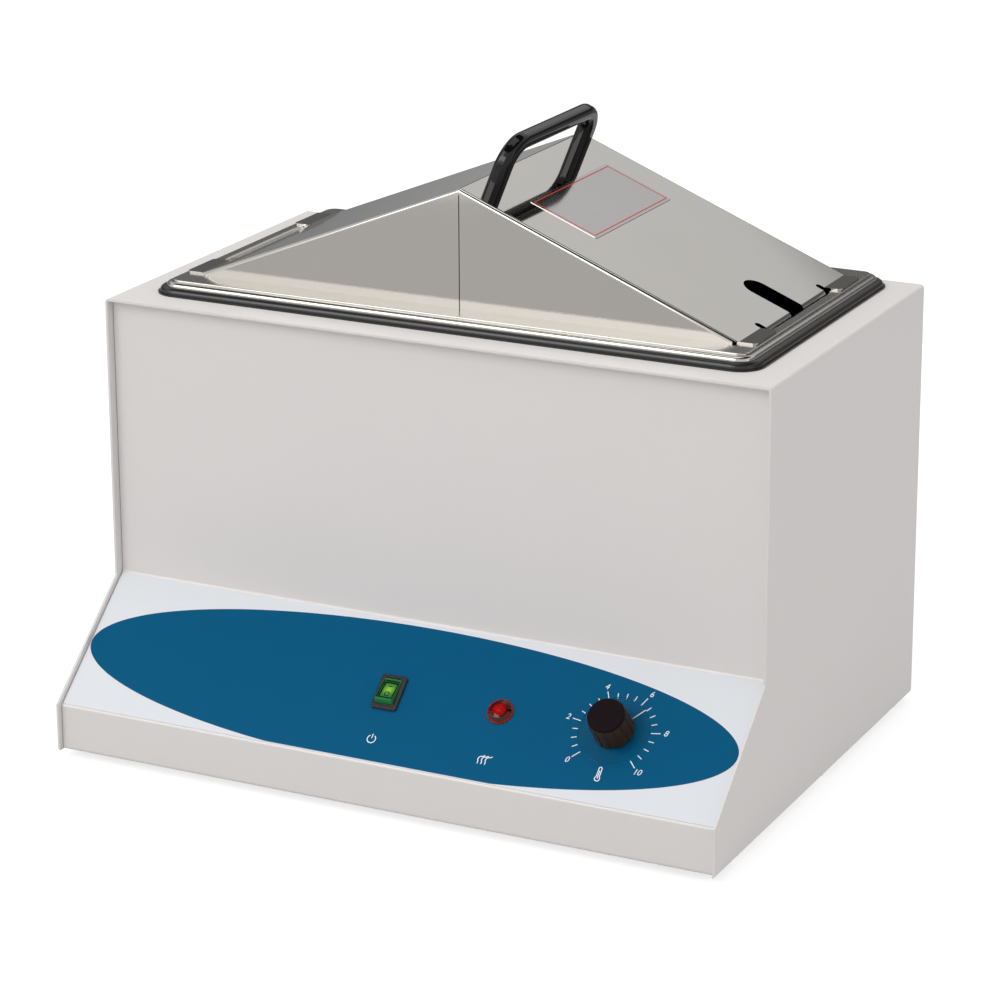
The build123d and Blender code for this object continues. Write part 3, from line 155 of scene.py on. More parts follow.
class BathPrintSettings(bpy.types.PropertyGroup):
    """Sizes of what is printed on the console, the dial, the rocker and the lid film."""

    ink: length_property("Ink thickness", 0.04, "Thickness of one printed layer")
    field_length: length_property("Field length", 360.6, "Length of the printed oval")
    field_height: length_property("Field height", 79.3, "Height of the printed oval before the film cuts it")
    field_drop: length_property("Field drop", 2.05, "How far the oval sits below the film's middle")
    field_edge: length_property("Field edge", 0.3, "Width of the pale line round the oval")
    film_margin: length_property("Film margin", 0.4, "Bare film left where the oval meets its edge")
    scale_inner: length_property("Scale radius", 18.7, "Inner radius of the dial's marks")
    long_mark: length_property("Long mark", 4.8, "Length of the marks at the numbers")
    short_mark: length_property("Short mark", 2.9, "Length of the marks between the numbers")
    mark_width: length_property("Mark width", 0.45, "Width of the printed lines")
    number_radius: length_property("Number radius", 26.2, "Radius that the dial's numbers stand on")
    scale_drop: length_property("Scale drop", 0.7, "How far the scale sits below the dial's middle")
    number_size: length_property("Number size", 4.4, "Size of the dial's numbers")
    zero_angle: angle_property("Zero", 225, "Direction of the dial's zero from the right, turning left")
    step_angle: angle_property("Step", 27, "Turn from one number to the next")
    set_value: bpy.props.FloatProperty(
        name="Set value", description="Number that the knob points at", default=6.5
    )
    number_slant: bpy.props.FloatProperty(
        name="Number slant", description="How far the dial's numbers lean", default=0.25
    )
    pointer_tuck: length_property("Pointer tuck", 0.4, "How far the pointer runs in under the knob")
    sign_drop: length_property("Sign drop", 27.5, "How far the signs stand below the controls' middle")
    dial_sign_drop: length_property("Dial sign drop", 24.0, "How far the dial's sign stands below it")
    sign_line: length_property("Sign line", 0.5, "Line width of the signs")
    rocker_line: length_property("Rocker line", 0.5, "Line width of the rocker's marks")
    rocker_ring: length_property("Rocker ring", 1.15, "Radius of the rocker's ring")
    ring_drop: length_property("Ring drop", 2.2, "How far the ring sits below the window's middle")
    rocker_dash: length_property("Rocker dash", 2.2, "Length of the rocker's bar")
    dash_rise: length_property("Dash rise", 2.6, "How far the bar sits above the window's middle")
    # The rocker's borders are painted shade along its recessed window.
    rocker_border: length_property("Rocker border", 0.65, "Width of the borders round the window")
    frame_inset: length_property("Frame inset", 1.7, "From the edge of the lid film to its red line")
    frame_line: length_property("Frame line", 0.6, "Width of the red line on the lid film")


class BathColourSettings(bpy.types.PropertyGroup):
    """Colours of the finishes."""

    casing: colour_property("Casing", "E4E0DE", "Powder coat of the casing")
    film: colour_property("Console film", "E4E7EB", "Ground of the console film")
    field: colour_property("Field", "005880", "Ink of the oval")
    white_ink: colour_property("White ink", "F2F4F6", "Ink of the marks")
    edge_ink: colour_property("Edge ink", "EFE8EA", "Pale line round the oval")
    red_ink: colour_property("Red ink", "C8452F", "Line on the lid film")
    # The rocker's dark ink is also used for the painted shade round its window.
    mark_ink: colour_property("Dark ink", "10140E", "Marks on the rocker")
    stainless: colour_property("Stainless steel", "B7B4AF", "Polished stainless steel")
    handle: colour_property("Handle", "0B0A0C", "Moulded handle")
    knob: colour_property("Knob", "3A2A18", "Fluted knob")
    knob_cap: colour_property("Knob cap", "1A1014", "Cap of the knob")
    rocker: colour_property("Rocker", "1E7034", "Lit rocker")
    rocker_glow: colour_property("Rocker glow", "B8E81C", "Lamp behind the rocker")
    lens: colour_property("Lamp lens", "C41A16", "Red lamp lens")
    lens_glow: colour_property("Lamp glow", "C83A10", "Lit rim of the lamp lens")


class BathStudioSettings(bpy.types.PropertyGroup):
    """Camera and light."""

    camera_place: bpy.props.FloatVectorProperty(
        name="Camera", description="Place of the camera", subtype="TRANSLATION", unit="LENGTH",
        default=(0.78355, -1.56252, 0.70892),
    )
    camera_down: angle_property("Look down", 17.31, "How far the camera looks down")
    camera_turn: angle_property("Look left", 25.77, "How far the camera is turned to the left")
    lens: bpy.props.FloatProperty(name="Lens", description="Focal length in mm", default=129.3)
    shift: bpy.props.FloatVectorProperty(
        name="Shift", description="Shift of the picture", size=2, default=(-0.04503, -0.07275)
    )
    sky: bpy.props.FloatProperty(name="Sky", description="Strength of the white room", default=0.71)
    key: power_property("Key", 11.6, "Power of the large front lamp")
    top: power_property("Top", 5.0, "Power of the overhead lamp")
    side: power_property("Side", 2.2, "Power of the lamp on the right")


# Materials


def add_node(tree, kind, settings=None, sockets=None, links=None):
    """Adds a shader node with its settings, its input values and its links."""
    node = tree.nodes.new(kind)
    for name, value in (settings or {}).items():
        setattr(node, name, value)
    for name, value in (sockets or {}).items():
        node.inputs[name].default_value = value
    for name, output in (links or {}).items():
        tree.links.new(output, node.inputs[name])
    return node


def new_material(name):
    """An empty node material."""
    material = bpy.data.materials.new(name)
    material.use_nodes = True
    material.node_tree.nodes.clear()
    return material


def grey(level):
    """A neutral grey as a socket value."""
    return (level, level, level, 1)


def shaded(colour, factor):
    """A colour made lighter or darker, as a socket value."""
    return [min(1.0, c * factor) for c in colour] + [1.0]


def surface(
    name, colour, roughness, grain_mm=1.0, grain_depth_mm=0.01, drift=0.03, drift_mm=20.0,
    rough_swing=0.04, stretch=(1, 1, 1), **sockets
):
    """A surface whose colour drifts slowly and whose grain shows in its bump and its gloss."""
    material = new_material(name)
    tree = material.node_tree
    place = add_node(tree, "ShaderNodeTexCoord").outputs["Object"]
    along = add_node(
        tree, "ShaderNodeMapping", sockets={"Scale": Vector(stretch)}, links={"Vector": place}
    ).outputs["Vector"]
    cloud = add_node(
        tree, "ShaderNodeTexNoise", sockets={"Scale": 1 / (drift_mm * MM), "Detail": 3.0},
        links={"Vector": place},
    ).outputs["Fac"]
    grain = add_node(
        tree, "ShaderNodeTexNoise", sockets={"Scale": 1 / (grain_mm * MM), "Detail": 2.0},
        links={"Vector": along},
    ).outputs["Fac"]
    tint = add_node(
        tree, "ShaderNodeMix", {"data_type": "RGBA"},
        {6: shaded(colour, 1 - drift), 7: shaded(colour, 1 + drift)}, {0: cloud},
    ).outputs[2]
    gloss = add_node(
        tree, "ShaderNodeMapRange",
        sockets={"To Min": max(0.0, roughness - rough_swing), "To Max": roughness + rough_swing},
        links={"Value": grain},
    ).outputs["Result"]
    bump = add_node(
        tree, "ShaderNodeBump", sockets={"Strength": 1.0, "Distance": grain_depth_mm * MM},
        links={"Height": grain},
    ).outputs["Normal"]
    shader = add_node(
        tree, "ShaderNodeBsdfPrincipled", sockets=sockets,
        links={"Base Color": tint, "Roughness": gloss, "Normal": bump},
    )
    add_node(tree, "ShaderNodeOutputMaterial", links={"Surface": shader.outputs["BSDF"]})
    return material


def shader_of(material):
    """The node tree of a surface and its main shader."""
    tree = material.node_tree
    return tree, next(n for n in tree.nodes if n.type == "BSDF_PRINCIPLED")


# The rocker's glow: its reach as a share of the rocker's diagonal, its shift in reaches, which lifts it above the
# rocker's middle, the level of the rocker's own colour away from it, and its strength.
GLOW_REACH = 0.24
GLOW_SHIFT = Vector((0, 0, -0.2))
GLOW_FLOOR = 0.2
GLOW_STRENGTH = 0.8


def lit_rocker(colours):
    """Moulded green polycarbonate with a neon lamp behind it: a yellow glow at its middle."""
    material = surface(
        "Lit green polycarbonate", colours.rocker, 0.16, grain_mm=1.4, grain_depth_mm=0.02, drift=0.25,
        drift_mm=3.0,
    )
    tree, shader = shader_of(material)
    box_low, box_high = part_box("switch_rocker")
    spread = (box_high - box_low).length * GLOW_REACH
    place = add_node(tree, "ShaderNodeTexCoord").outputs["Object"]
    centred = add_node(
        tree, "ShaderNodeMapping",
        sockets={
            "Location": -(box_low + box_high) / 2 / spread + GLOW_SHIFT,
            "Scale": Vector((1, 1, 1)) / spread,
        },
        links={"Vector": place},
    ).outputs["Vector"]
    glow = add_node(
        tree, "ShaderNodeTexGradient", {"gradient_type": "QUADRATIC_SPHERE"}, links={"Vector": centred}
    ).outputs["Fac"]
    light = add_node(
        tree, "ShaderNodeMix", {"data_type": "RGBA"},
        {6: shaded(colours.rocker, GLOW_FLOOR), 7: shaded(colours.rocker_glow, 1)}, {0: glow},
    ).outputs[2]
    tree.links.new(light, shader.inputs["Emission Color"])
    shader.inputs["Emission Strength"].default_value = GLOW_STRENGTH
    return material


# The lens from its middle to its rim: share of the radius, colour and level. The levels paint the lamp's light and
# shade into the lens's colour and glow: a bright middle and rim, and painted shade on the dark ring of its bevel.
LENS_GLOW_AND_SHADE = (
    (0.0, "lens", 1.0),
    (0.42, "lens", 0.7),
    (0.62, "lens", 0.18),
    (0.7, "lens", 0.05),
    (0.86, "lens", 0.05),
    (0.9, "lens_glow", 0.7),
    (1.0, "lens_glow", 0.5),
)
PRISM_MM = 0.9
PRISM_LIGHT = {"From Min": 0.1, "From Max": 0.7, "To Min": 1.15, "To Max": 0.15}
LENS_STRENGTH = 0.35
LENS_MIRROR = 0.4


def set_stops(ramp_node, stops):
    """Puts the stops of a colour ramp in, each a place and a colour."""
    elements = ramp_node.color_ramp.elements
    for at, colour in stops[1:-1]:
        elements.new(at).color = colour
    elements[0].color = stops[0][1]
    elements[-1].color = stops[-1][1]


def lamp_lens(colours):
    """Moulded red acrylic lens lit by its lamp: a bright rim, a dark ring of painted shade, and a prismatic middle
    painted in light and shade.
    """
    material = surface(
        "Red acrylic lens", colours.lens, 0.06, grain_mm=0.6, grain_depth_mm=0.01, drift=0.1, drift_mm=3.0
    )
    tree, shader = shader_of(material)
    centre = sum((axis * middle("lamp_lens", axis) for axis in CONSOLE), Vector())
    left, right = reach("lamp_lens", RIGHT)
    radius = (right - left) / 2
    place = add_node(tree, "ShaderNodeTexCoord").outputs["Object"]
    turned = add_node(
        tree, "ShaderNodeMapping", {"vector_type": "TEXTURE"},
        {"Location": centre, "Rotation": Matrix(CONSOLE).transposed().to_euler()}, {"Vector": place},
    ).outputs["Vector"]
    parts = add_node(tree, "ShaderNodeSeparateXYZ", links={"Vector": turned}).outputs
    flat = add_node(tree, "ShaderNodeCombineXYZ", links={0: parts[0], 1: parts[1]}).outputs["Vector"]
    distance = add_node(
        tree, "ShaderNodeVectorMath", {"operation": "LENGTH"}, links={0: flat}
    ).outputs["Value"]
    zone = add_node(
        tree, "ShaderNodeMath", {"operation": "DIVIDE"}, {1: radius}, {0: distance}
    ).outputs["Value"]
    glow_and_shade_rings = add_node(tree, "ShaderNodeValToRGB", links={"Fac": zone})
    set_stops(glow_and_shade_rings, [(at, shaded(getattr(colours, key), level)) for at, key, level in LENS_GLOW_AND_SHADE])
    # The prisms' bright and dark facets are painted light and shade, in the base colour as well as the glow.
    prisms = add_node(
        tree, "ShaderNodeTexVoronoi", {"feature": "F1"}, {"Scale": 1 / (PRISM_MM * MM), "Randomness": 0.3},
        {"Vector": flat},
    ).outputs["Distance"]
    prism_light_and_shade = add_node(
        tree, "ShaderNodeMapRange", sockets=PRISM_LIGHT, links={"Value": prisms}
    ).outputs["Result"]
    tint = add_node(
        tree, "ShaderNodeMix", {"data_type": "RGBA", "blend_type": "MULTIPLY"}, {0: 1.0},
        {6: glow_and_shade_rings.outputs["Color"], 7: prism_light_and_shade},
    ).outputs[2]
    tree.links.new(tint, shader.inputs["Base Color"])
    tree.links.new(tint, shader.inputs["Emission Color"])
    shader.inputs["Emission Strength"].default_value = LENS_STRENGTH
    shader.inputs["Specular IOR Level"].default_value = LENS_MIRROR
    return material


# How much light a clear sheet lets through to the shadow rays.
SHEET_CLEARNESS = 0.95


def clear_sheet(name, roughness, tint):
    """Clear moulded plastic or film that lets light through to what lies under it."""
    material = surface(
        name, tint, roughness, grain_mm=6.0, grain_depth_mm=0.002, drift=0.0, rough_swing=0.01,
        **{"Transmission Weight": 1.0, "IOR": 1.12},
    )
    tree, shader = shader_of(material)
    output = next(n for n in tree.nodes if n.type == "OUTPUT_MATERIAL")
    passing = add_node(tree, "ShaderNodeLightPath").outputs
    clear = add_node(
        tree, "ShaderNodeBsdfTransparent", sockets={"Color": grey(SHEET_CLEARNESS)}
    ).outputs["BSDF"]
    # Shadow rays pass, so that the print below the sheet is lit.
    both = add_node(
        tree, "ShaderNodeMixShader", links={0: passing["Is Shadow Ray"], 1: shader.outputs["BSDF"], 2: clear}
    ).outputs["Shader"]
    tree.links.new(both, output.inputs["Surface"])
    return material


METAL = {"Metallic": 1.0}
LOW_MIRROR = {"Specular IOR Level": 0.05}


def finish_table(colours):
    """The material of each slot, made from the real finish's gloss and grain."""
    return {
        # Epoxy powder coat: satin, with an orange peel about a millimetre across.
        "casing_paint": lambda: surface(
            "Powder coated steel", colours.casing, 0.42, grain_mm=1.1, grain_depth_mm=0.006,
            drift=0.012, drift_mm=60,
        ),
        # Velvet polyester film: an even, soft sheen with a very fine tooth.
        "overlay_film": lambda: surface(
            "Velvet polyester film", colours.film, 0.36, grain_mm=0.5, grain_depth_mm=0.002,
            drift=0.008, drift_mm=80, **LOW_MIRROR,
        ),
        # Polished stainless sheet: a mirror with faint lines of the polishing belt.
        "stainless_polished": lambda: surface(
            "Polished stainless sheet", colours.stainless, 0.05, grain_mm=1.2, grain_depth_mm=0.0004,
            drift=0.02, drift_mm=45, rough_swing=0.02, stretch=(1, 0.03, 1), **METAL,
        ),
        # Deep drawn stainless: softer gloss, drawing marks down the walls.
        "tank_stainless": lambda: surface(
            "Drawn stainless steel", colours.stainless, 0.2, grain_mm=1.0, grain_depth_mm=0.001,
            drift=0.04, drift_mm=30, rough_swing=0.06, stretch=(1, 1, 0.08), **METAL,
        ),
        # Extruded rubber: black and a little shiny along its rounded edge.
        "gasket_rubber": lambda: surface(
            "Extruded seal rubber", linear("141110"), 0.3, grain_mm=0.9, grain_depth_mm=0.008,
            drift=0.12, drift_mm=12,
        ),
        # Moulded rubber: duller and a little grey with dust.
        "foot_rubber": lambda: surface(
            "Moulded foot rubber", linear("232323"), 0.65, grain_mm=0.8, grain_depth_mm=0.03, drift=0.2,
            drift_mm=8,
        ),
        # Compression moulded thermoset: a hard high gloss with slight waves.
        "gloss_black": lambda: surface(
            "Gloss black thermoset", colours.handle, 0.09, grain_mm=5.0, grain_depth_mm=0.006,
            drift=0.1, drift_mm=15, rough_swing=0.02, **{"Specular IOR Level": 0.3},
        ),
        # Moulded ABS with a fine spark texture.
        "knob_black": lambda: surface(
            "Satin brown black ABS", colours.knob, 0.36, grain_mm=0.6, grain_depth_mm=0.008, drift=0.25,
            drift_mm=6, **{"Specular IOR Level": 0.3},
        ),
        # The same plastic on the cap: smoother, and it mirrors next to nothing.
        "knob_cap": lambda: surface(
            "Satin knob cap ABS", colours.knob_cap, 0.4, grain_mm=0.5, grain_depth_mm=0.006, drift=0.12,
            drift_mm=4, **LOW_MIRROR,
        ),
        # Clear acrylic disc: only its edge and its line show.
        "clear_disc": lambda: clear_sheet("Clear acrylic", 0.03, linear("E4E6E6")),
        # Glass filled nylon: satin with pale fibre flecks.
        "switch_black": lambda: surface(
            "Black nylon", linear("2A2422"), 0.3, grain_mm=0.5, grain_depth_mm=0.01, drift=0.3,
            drift_mm=3,
        ),
        # Clear green polycarbonate with the lamp's glow in it.
        "rocker_green": lambda: lit_rocker(colours),
        # Red acrylic with prisms that break up the light; the lamp's light and shade is painted into its colour.
        "lamp_red": lambda: lamp_lens(colours),
        # Moulded nylon behind the panel.
        "lamp_black": lambda: surface(
            "Lamp barrel nylon", linear("1C1B1B"), 0.4, grain_mm=0.8, grain_depth_mm=0.01, drift=0.15,
            drift_mm=6,
        ),
        # Bright zinc plate: silvery with a faint blue and grey spangle.
        "zinc_steel": lambda: surface(
            "Zinc plated steel", linear("C4C7CB"), 0.3, grain_mm=0.8, grain_depth_mm=0.004, drift=0.1,
            drift_mm=4, rough_swing=0.08, **METAL,
        ),
        # Rolled brass: warm, a little dull from handling.
        "brass_plate": lambda: surface(
            "Rolled brass", linear("C9A45C"), 0.28, grain_mm=0.6, grain_depth_mm=0.003, drift=0.08,
            drift_mm=5, rough_swing=0.06, **METAL,
        ),
        # Drawn copper: darker patches where it has oxidised.
        "copper_tube": lambda: surface(
            "Drawn copper", linear("C07A55"), 0.3, grain_mm=0.7, grain_depth_mm=0.003, drift=0.2,
            drift_mm=8, rough_swing=0.08, **METAL,
        ),
        # Fabric backed silicone: matt orange with the weave pressed through.
        "silicone_mat": lambda: surface(
            "Silicone heater mat", linear("B4532A"), 0.6, grain_mm=1.4, grain_depth_mm=0.08, drift=0.08,
            drift_mm=12,
        ),
        # Rolled aluminium: pale with long rolling lines.
        "alu_plate": lambda: surface(
            "Rolled aluminium", linear("D2D4D6"), 0.35, grain_mm=0.6, grain_depth_mm=0.003, drift=0.04,
            drift_mm=20, rough_swing=0.08, stretch=(0.04, 1, 1), **METAL,
        ),
        # Needled fibre blanket: loose, matt and cream coloured.
        "fibre_blanket": lambda: surface(
            "Needled fibre blanket", linear("E2DCCB"), 0.95, grain_mm=1.8, grain_depth_mm=0.7,
            drift=0.08, drift_mm=9, stretch=(0.35, 0.35, 1), **{"Sheen Weight": 0.3},
        ),
        # Phenolic moulding: deep brown with a dull gloss.
        "bakelite_body": lambda: surface(
            "Brown phenolic", linear("3A2318"), 0.3, grain_mm=1.0, grain_depth_mm=0.01, drift=0.3,
            drift_mm=3,
        ),
        # Moulded polyamide: off white and slightly waxy.
        "terminal_white": lambda: surface(
            "Natural polyamide", linear("E9E5D8"), 0.38, grain_mm=0.9, grain_depth_mm=0.01, drift=0.03,
            drift_mm=6, **{"Subsurface Weight": 0.1, "Subsurface Scale": 0.002},
        ),
        # Moulded thermoplastic with a spark eroded texture.
        "inlet_black": lambda: surface(
            "Textured black thermoplastic", linear("1A1A1B"), 0.45, grain_mm=0.5, grain_depth_mm=0.02,
            drift=0.15, drift_mm=5,
        ),
        # Glass tube of the fuse.
        "fuse_glass": lambda: clear_sheet("Soda glass", 0.02, linear("F4FAF8")),
        # Clear vinyl film on steel: it only dulls the mirror below it.
        "film_clear": lambda: surface(
            "Clear vinyl film", linear("ABA8A6"), 0.1, grain_mm=2.0, grain_depth_mm=0.001, drift=0.02,
            drift_mm=20, rough_swing=0.02, **{"Metallic": 0.95},
        ),
    }


def ink(name, colour):
    """Screen printed ink: a smooth, slightly raised layer with a satin surface and small uneven spots."""
    return surface(
        name, colour, 0.38, grain_mm=0.4, grain_depth_mm=0.002, drift=0.02, drift_mm=15, **LOW_MIRROR
    )


# Modelling helpers


def start_clean():
    """Leaves edit mode and deselects everything, so that an operator acts on the new piece alone."""
    if bpy.context.mode != "OBJECT":
        bpy.ops.object.mode_set(mode="OBJECT")
    bpy.ops.object.select_all(action="DESELECT")


def edit_all():
    """Opens the active mesh with all of it selected."""
    bpy.ops.object.mode_set(mode="EDIT")
    bpy.ops.mesh.select_all(action="SELECT")


def give_thickness(thickness):
    """Extrudes the flat mesh in hand upwards and closes it, facing outwards."""
    edit_all()
    bpy.ops.mesh.extrude_region_move(TRANSFORM_OT_translate={"value": (0, 0, thickness)})
    bpy.ops.mesh.select_all(action="SELECT")
    bpy.ops.mesh.normals_make_consistent(inside=False)
    bpy.ops.object.mode_set(mode="OBJECT")


def settle(name, place, material, body):
    """Names the piece in hand, puts its place into its mesh, and gives it its material and body."""
    piece = bpy.context.object
    piece.name = piece.data.name = name
    piece.matrix_world = place @ piece.matrix_world
    bpy.ops.object.transform_apply(location=True, rotation=True, scale=True)
    piece.data.materials.clear()
    piece.data.materials.append(material)
    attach(piece, body)


OVAL_POINTS = 256


def oval(length, height, low, high, thickness):
    """An oval sheet, cut off straight at its lowest and highest lines."""
    start_clean()
    bpy.ops.mesh.primitive_circle_add(vertices=OVAL_POINTS, radius=0.5, fill_type="NGON")
    edit_all()
    bpy.ops.transform.resize(value=(length, height, 1))
    for at, side in ((low, -1), (high, 1)):
        bpy.ops.mesh.select_all(action="SELECT")
        bpy.ops.mesh.bisect(plane_co=(0, at, 0), plane_no=(0, side, 0), clear_outer=True)
    give_thickness(thickness)


def bar(width, length, thickness):
    """A flat bar from the origin upwards."""
    start_clean()
    bpy.ops.mesh.primitive_plane_add(size=1)
    edit_all()
    bpy.ops.transform.translate(value=(0, 0.5, 0))
    bpy.ops.transform.resize(value=(width, length, 1), center_override=(0, 0, 0))
    give_thickness(thickness)


# How finely a bend is drawn, and how near two points are welded, as a share of the line's width.
BEND_STEP = math.radians(12)
BEND_LEAST_STEPS = 4
WELD_SHARE = 0.05


def stroke(width, thickness, start, heading, moves):
    """A flat line: an edge across its start, pushed straight on or spun round a bend for each move.

    Each move is a length and a turn to the left over that length.
    """
    start_clean()
    bpy.ops.mesh.primitive_plane_add(size=width)
    edit_all()
    bpy.ops.mesh.delete(type="ONLY_FACE")
    bpy.ops.object.mode_set(mode="OBJECT")
    mesh = bpy.context.object.data
    for vertex in mesh.vertices:
        vertex.select = vertex.co.y < 0
    bpy.ops.object.mode_set(mode="EDIT")
    bpy.ops.mesh.select_all(action="INVERT")
    bpy.ops.mesh.delete(type="VERT")
    bpy.ops.mesh.select_all(action="SELECT")
    bpy.ops.transform.translate(value=(0, width / 2, 0))
    bpy.ops.object.mode_set(mode="OBJECT")
    at, heading = Vector((*start, 0)), math.radians(heading)
    mesh.transform(Matrix.Translation(at) @ Matrix.Rotation(heading - math.pi / 2, 4, "Z"))
    edit_all()
    for length, turn in moves:
        along = Vector((math.cos(heading), math.sin(heading), 0))
        if turn == 0:
            bpy.ops.mesh.extrude_region_move(TRANSFORM_OT_translate={"value": along * length})
            at = at + along * length
            continue
        turn = math.radians(turn)
        centre = at + Vector((-along.y, along.x, 0)) * length / turn
        steps = max(BEND_LEAST_STEPS, round(abs(turn) / BEND_STEP))
        # The spin turns clockwise about its axis, so the axis points down.
        bpy.ops.mesh.spin(steps=steps, angle=turn, center=centre, axis=(0, 0, -1))
        at = centre + Matrix.Rotation(turn, 3, "Z") @ (at - centre)
        heading += turn
    bpy.ops.mesh.select_all(action="SELECT")
    bpy.ops.mesh.remove_doubles(threshold=width * WELD_SHARE)
    give_thickness(thickness)


def border(wide, long, line, thickness):
    """A flat rectangular frame round the origin."""
    start_clean()
    bpy.ops.mesh.primitive_plane_add(size=1)
    edit_all()
    bpy.ops.transform.resize(value=(wide, long, 1))
    bpy.ops.mesh.inset(thickness=line)
    bpy.ops.mesh.delete(type="FACE")
    give_thickness(thickness)


def join_pieces(pieces):
    """Joins pieces into one, which stays in hand."""
    start_clean()
    for piece in pieces:
        piece.select_set(True)
    bpy.context.view_layer.objects.active = pieces[0]
    if len(pieces) > 1:
        bpy.ops.object.join()


# The prints lie on the console film in this order.
EDGE_LAYER, FIELD_LAYER, WHITE_LAYER = range(3)


def console_top(layer):
    """How far out of the console a printed layer starts."""
    return reach("control_overlay", CONSOLE_OUT)[1] + layer * bpy.context.scene.bath_print.ink


# Pieces


class BATH_OT_console_field(bpy.types.Operator):
    """Prints the blue oval and its pale edge on the console film"""

    bl_idname = "bath.console_field"
    bl_label = "Console field"

    def execute(self, context):
        sizes, colours = context.scene.bath_print, context.scene.bath_colours
        bottom, top = reach("control_overlay", CONSOLE_UP)
        limit = (top - bottom) / 2 - sizes.film_margin
        drop = sizes.field_drop
        for name, grow, layer, label, colour in (
            ("console_field_edge", sizes.field_edge, EDGE_LAYER, "Pale screen ink", colours.edge_ink),
            ("console_field", 0, FIELD_LAYER, "Blue screen ink", colours.field),
        ):
            oval(
                sizes.field_length + 2 * grow,
                sizes.field_height + 2 * grow,
                -limit - grow / 2 + drop,
                limit + grow / 2 + drop,
                sizes.ink,
            )
            place = seat(
                CONSOLE,
                middle("control_overlay", RIGHT),
                middle("control_overlay", CONSOLE_UP) - drop,
                console_top(layer),
            )
            settle(name, place, ink(label, colour), "base")
        return {"FINISHED"}


LAST_NUMBER = 10
NUMBER_STEP = 2


class BATH_OT_dial_scale(bpy.types.Operator):
    """Prints the marks and numbers round the control knob"""

    bl_idname = "bath.dial_scale"
    bl_label = "Dial scale"

    def execute(self, context):
        sizes, colours = context.scene.bath_print, context.scene.bath_colours
        white = ink("White screen ink", colours.white_ink)
        place = seat(
            CONSOLE,
            middle("dial_disc", RIGHT),
            middle("dial_disc", CONSOLE_UP) - sizes.scale_drop,
            console_top(WHITE_LAYER),
        )
        marks = []
        for half_step in range(2 * LAST_NUMBER + 1):
            value = half_step / 2
            length = sizes.long_mark if value % NUMBER_STEP == 0 else sizes.short_mark
            bar(sizes.mark_width, length, sizes.ink)
            mark = context.object
            angle = sizes.zero_angle - value * sizes.step_angle - math.pi / 2
            mark.data.transform(
                Matrix.Rotation(angle, 4, "Z") @ Matrix.Translation((0, sizes.scale_inner, 0))
            )
            marks.append(mark)
        join_pieces(marks)
        settle("dial_marks", place, white, "base")
        numbers = []
        for value in range(0, LAST_NUMBER + 1, NUMBER_STEP):
            start_clean()
            bpy.ops.object.text_add()
            text = context.object
            text.data.body = str(value)
            text.data.size = sizes.number_size
            text.data.shear = sizes.number_slant
            text.data.align_x = text.data.align_y = "CENTER"
            text.data.extrude = sizes.ink / 2
            bpy.ops.object.convert(target="MESH")
            angle = sizes.zero_angle - value * sizes.step_angle
            spot = Vector((math.cos(angle), math.sin(angle), 0)) * sizes.number_radius
            spot.z = sizes.ink / 2
            context.object.data.transform(Matrix.Translation(spot))
            numbers.append(context.object)
        join_pieces(numbers)
        settle("dial_numbers", place, white, "base")
        return {"FINISHED"}


class BATH_OT_dial_pointer(bpy.types.Operator):
    """Prints the pointer line on the underside of the clear disc"""

    bl_idname = "bath.dial_pointer"
    bl_label = "Dial pointer"

    def execute(self, context):
        sizes, colours = context.scene.bath_print, context.scene.bath_colours
        inner = reach("knob", RIGHT)[1] - middle("knob", RIGHT) - sizes.pointer_tuck
        outer = reach("dial_disc", RIGHT)[1] - middle("dial_disc", RIGHT)
        bar(sizes.mark_width, outer - inner, sizes.ink)
        angle = sizes.zero_angle - sizes.set_value * sizes.step_angle - math.pi / 2
        turn = Matrix.Rotation(angle, 4, "Z")
        context.object.data.transform(turn @ Matrix.Translation((0, inner, 0)))
        place = seat(
            CONSOLE,
            middle("dial_disc", RIGHT),
            middle("dial_disc", CONSOLE_UP),
            reach("dial_disc", CONSOLE_OUT)[0] - sizes.ink,
        )
        white = ink("White pointer ink", colours.white_ink)
        settle("dial_pointer", place, white, "control_knob")
        return {"FINISHED"}


def arc(radius, degrees):
    """A move round a bend of a given radius."""
    return radius * math.radians(degrees), degrees


def power_strokes(ring=2.2, gap=70, bar_foot=0.4, bar_length=2.4):
    """An open ring with a bar in its gap. Lengths are in millimetres, as in the next two."""
    edge = math.radians(90 + gap / 2)
    return [
        ((ring * math.cos(edge), ring * math.sin(edge)), 180 + gap / 2, [arc(ring, 360 - gap)]),
        ((0, bar_foot), 90, [(bar_length, 0)]),
    ]


def heat_strokes(spacing=2.0, foot=-2.4, step=1.7, turn=60):
    """Three waves that rise side by side."""
    wave = [(step, turn), (step, -turn), (step, -turn), (step, turn)]
    return [((x, foot), turn, wave) for x in (-spacing, 0.0, spacing)]


def temperature_strokes(bulb=1.3, stem=0.8, rise=4.4, foot=-2.2):
    """A thermometer: its stem, its bulb and the column in it."""
    neck = math.degrees(math.asin(stem / bulb))
    shoulder = foot + bulb * math.cos(math.radians(neck))
    return [
        ((stem, shoulder), 90, [(rise, 0), arc(stem, 180), (rise, 0)]),
        ((-stem, shoulder), 180 + neck, [arc(bulb, 360 - 2 * neck)]),
        ((0, foot), 90, [(rise, 0)]),
    ]


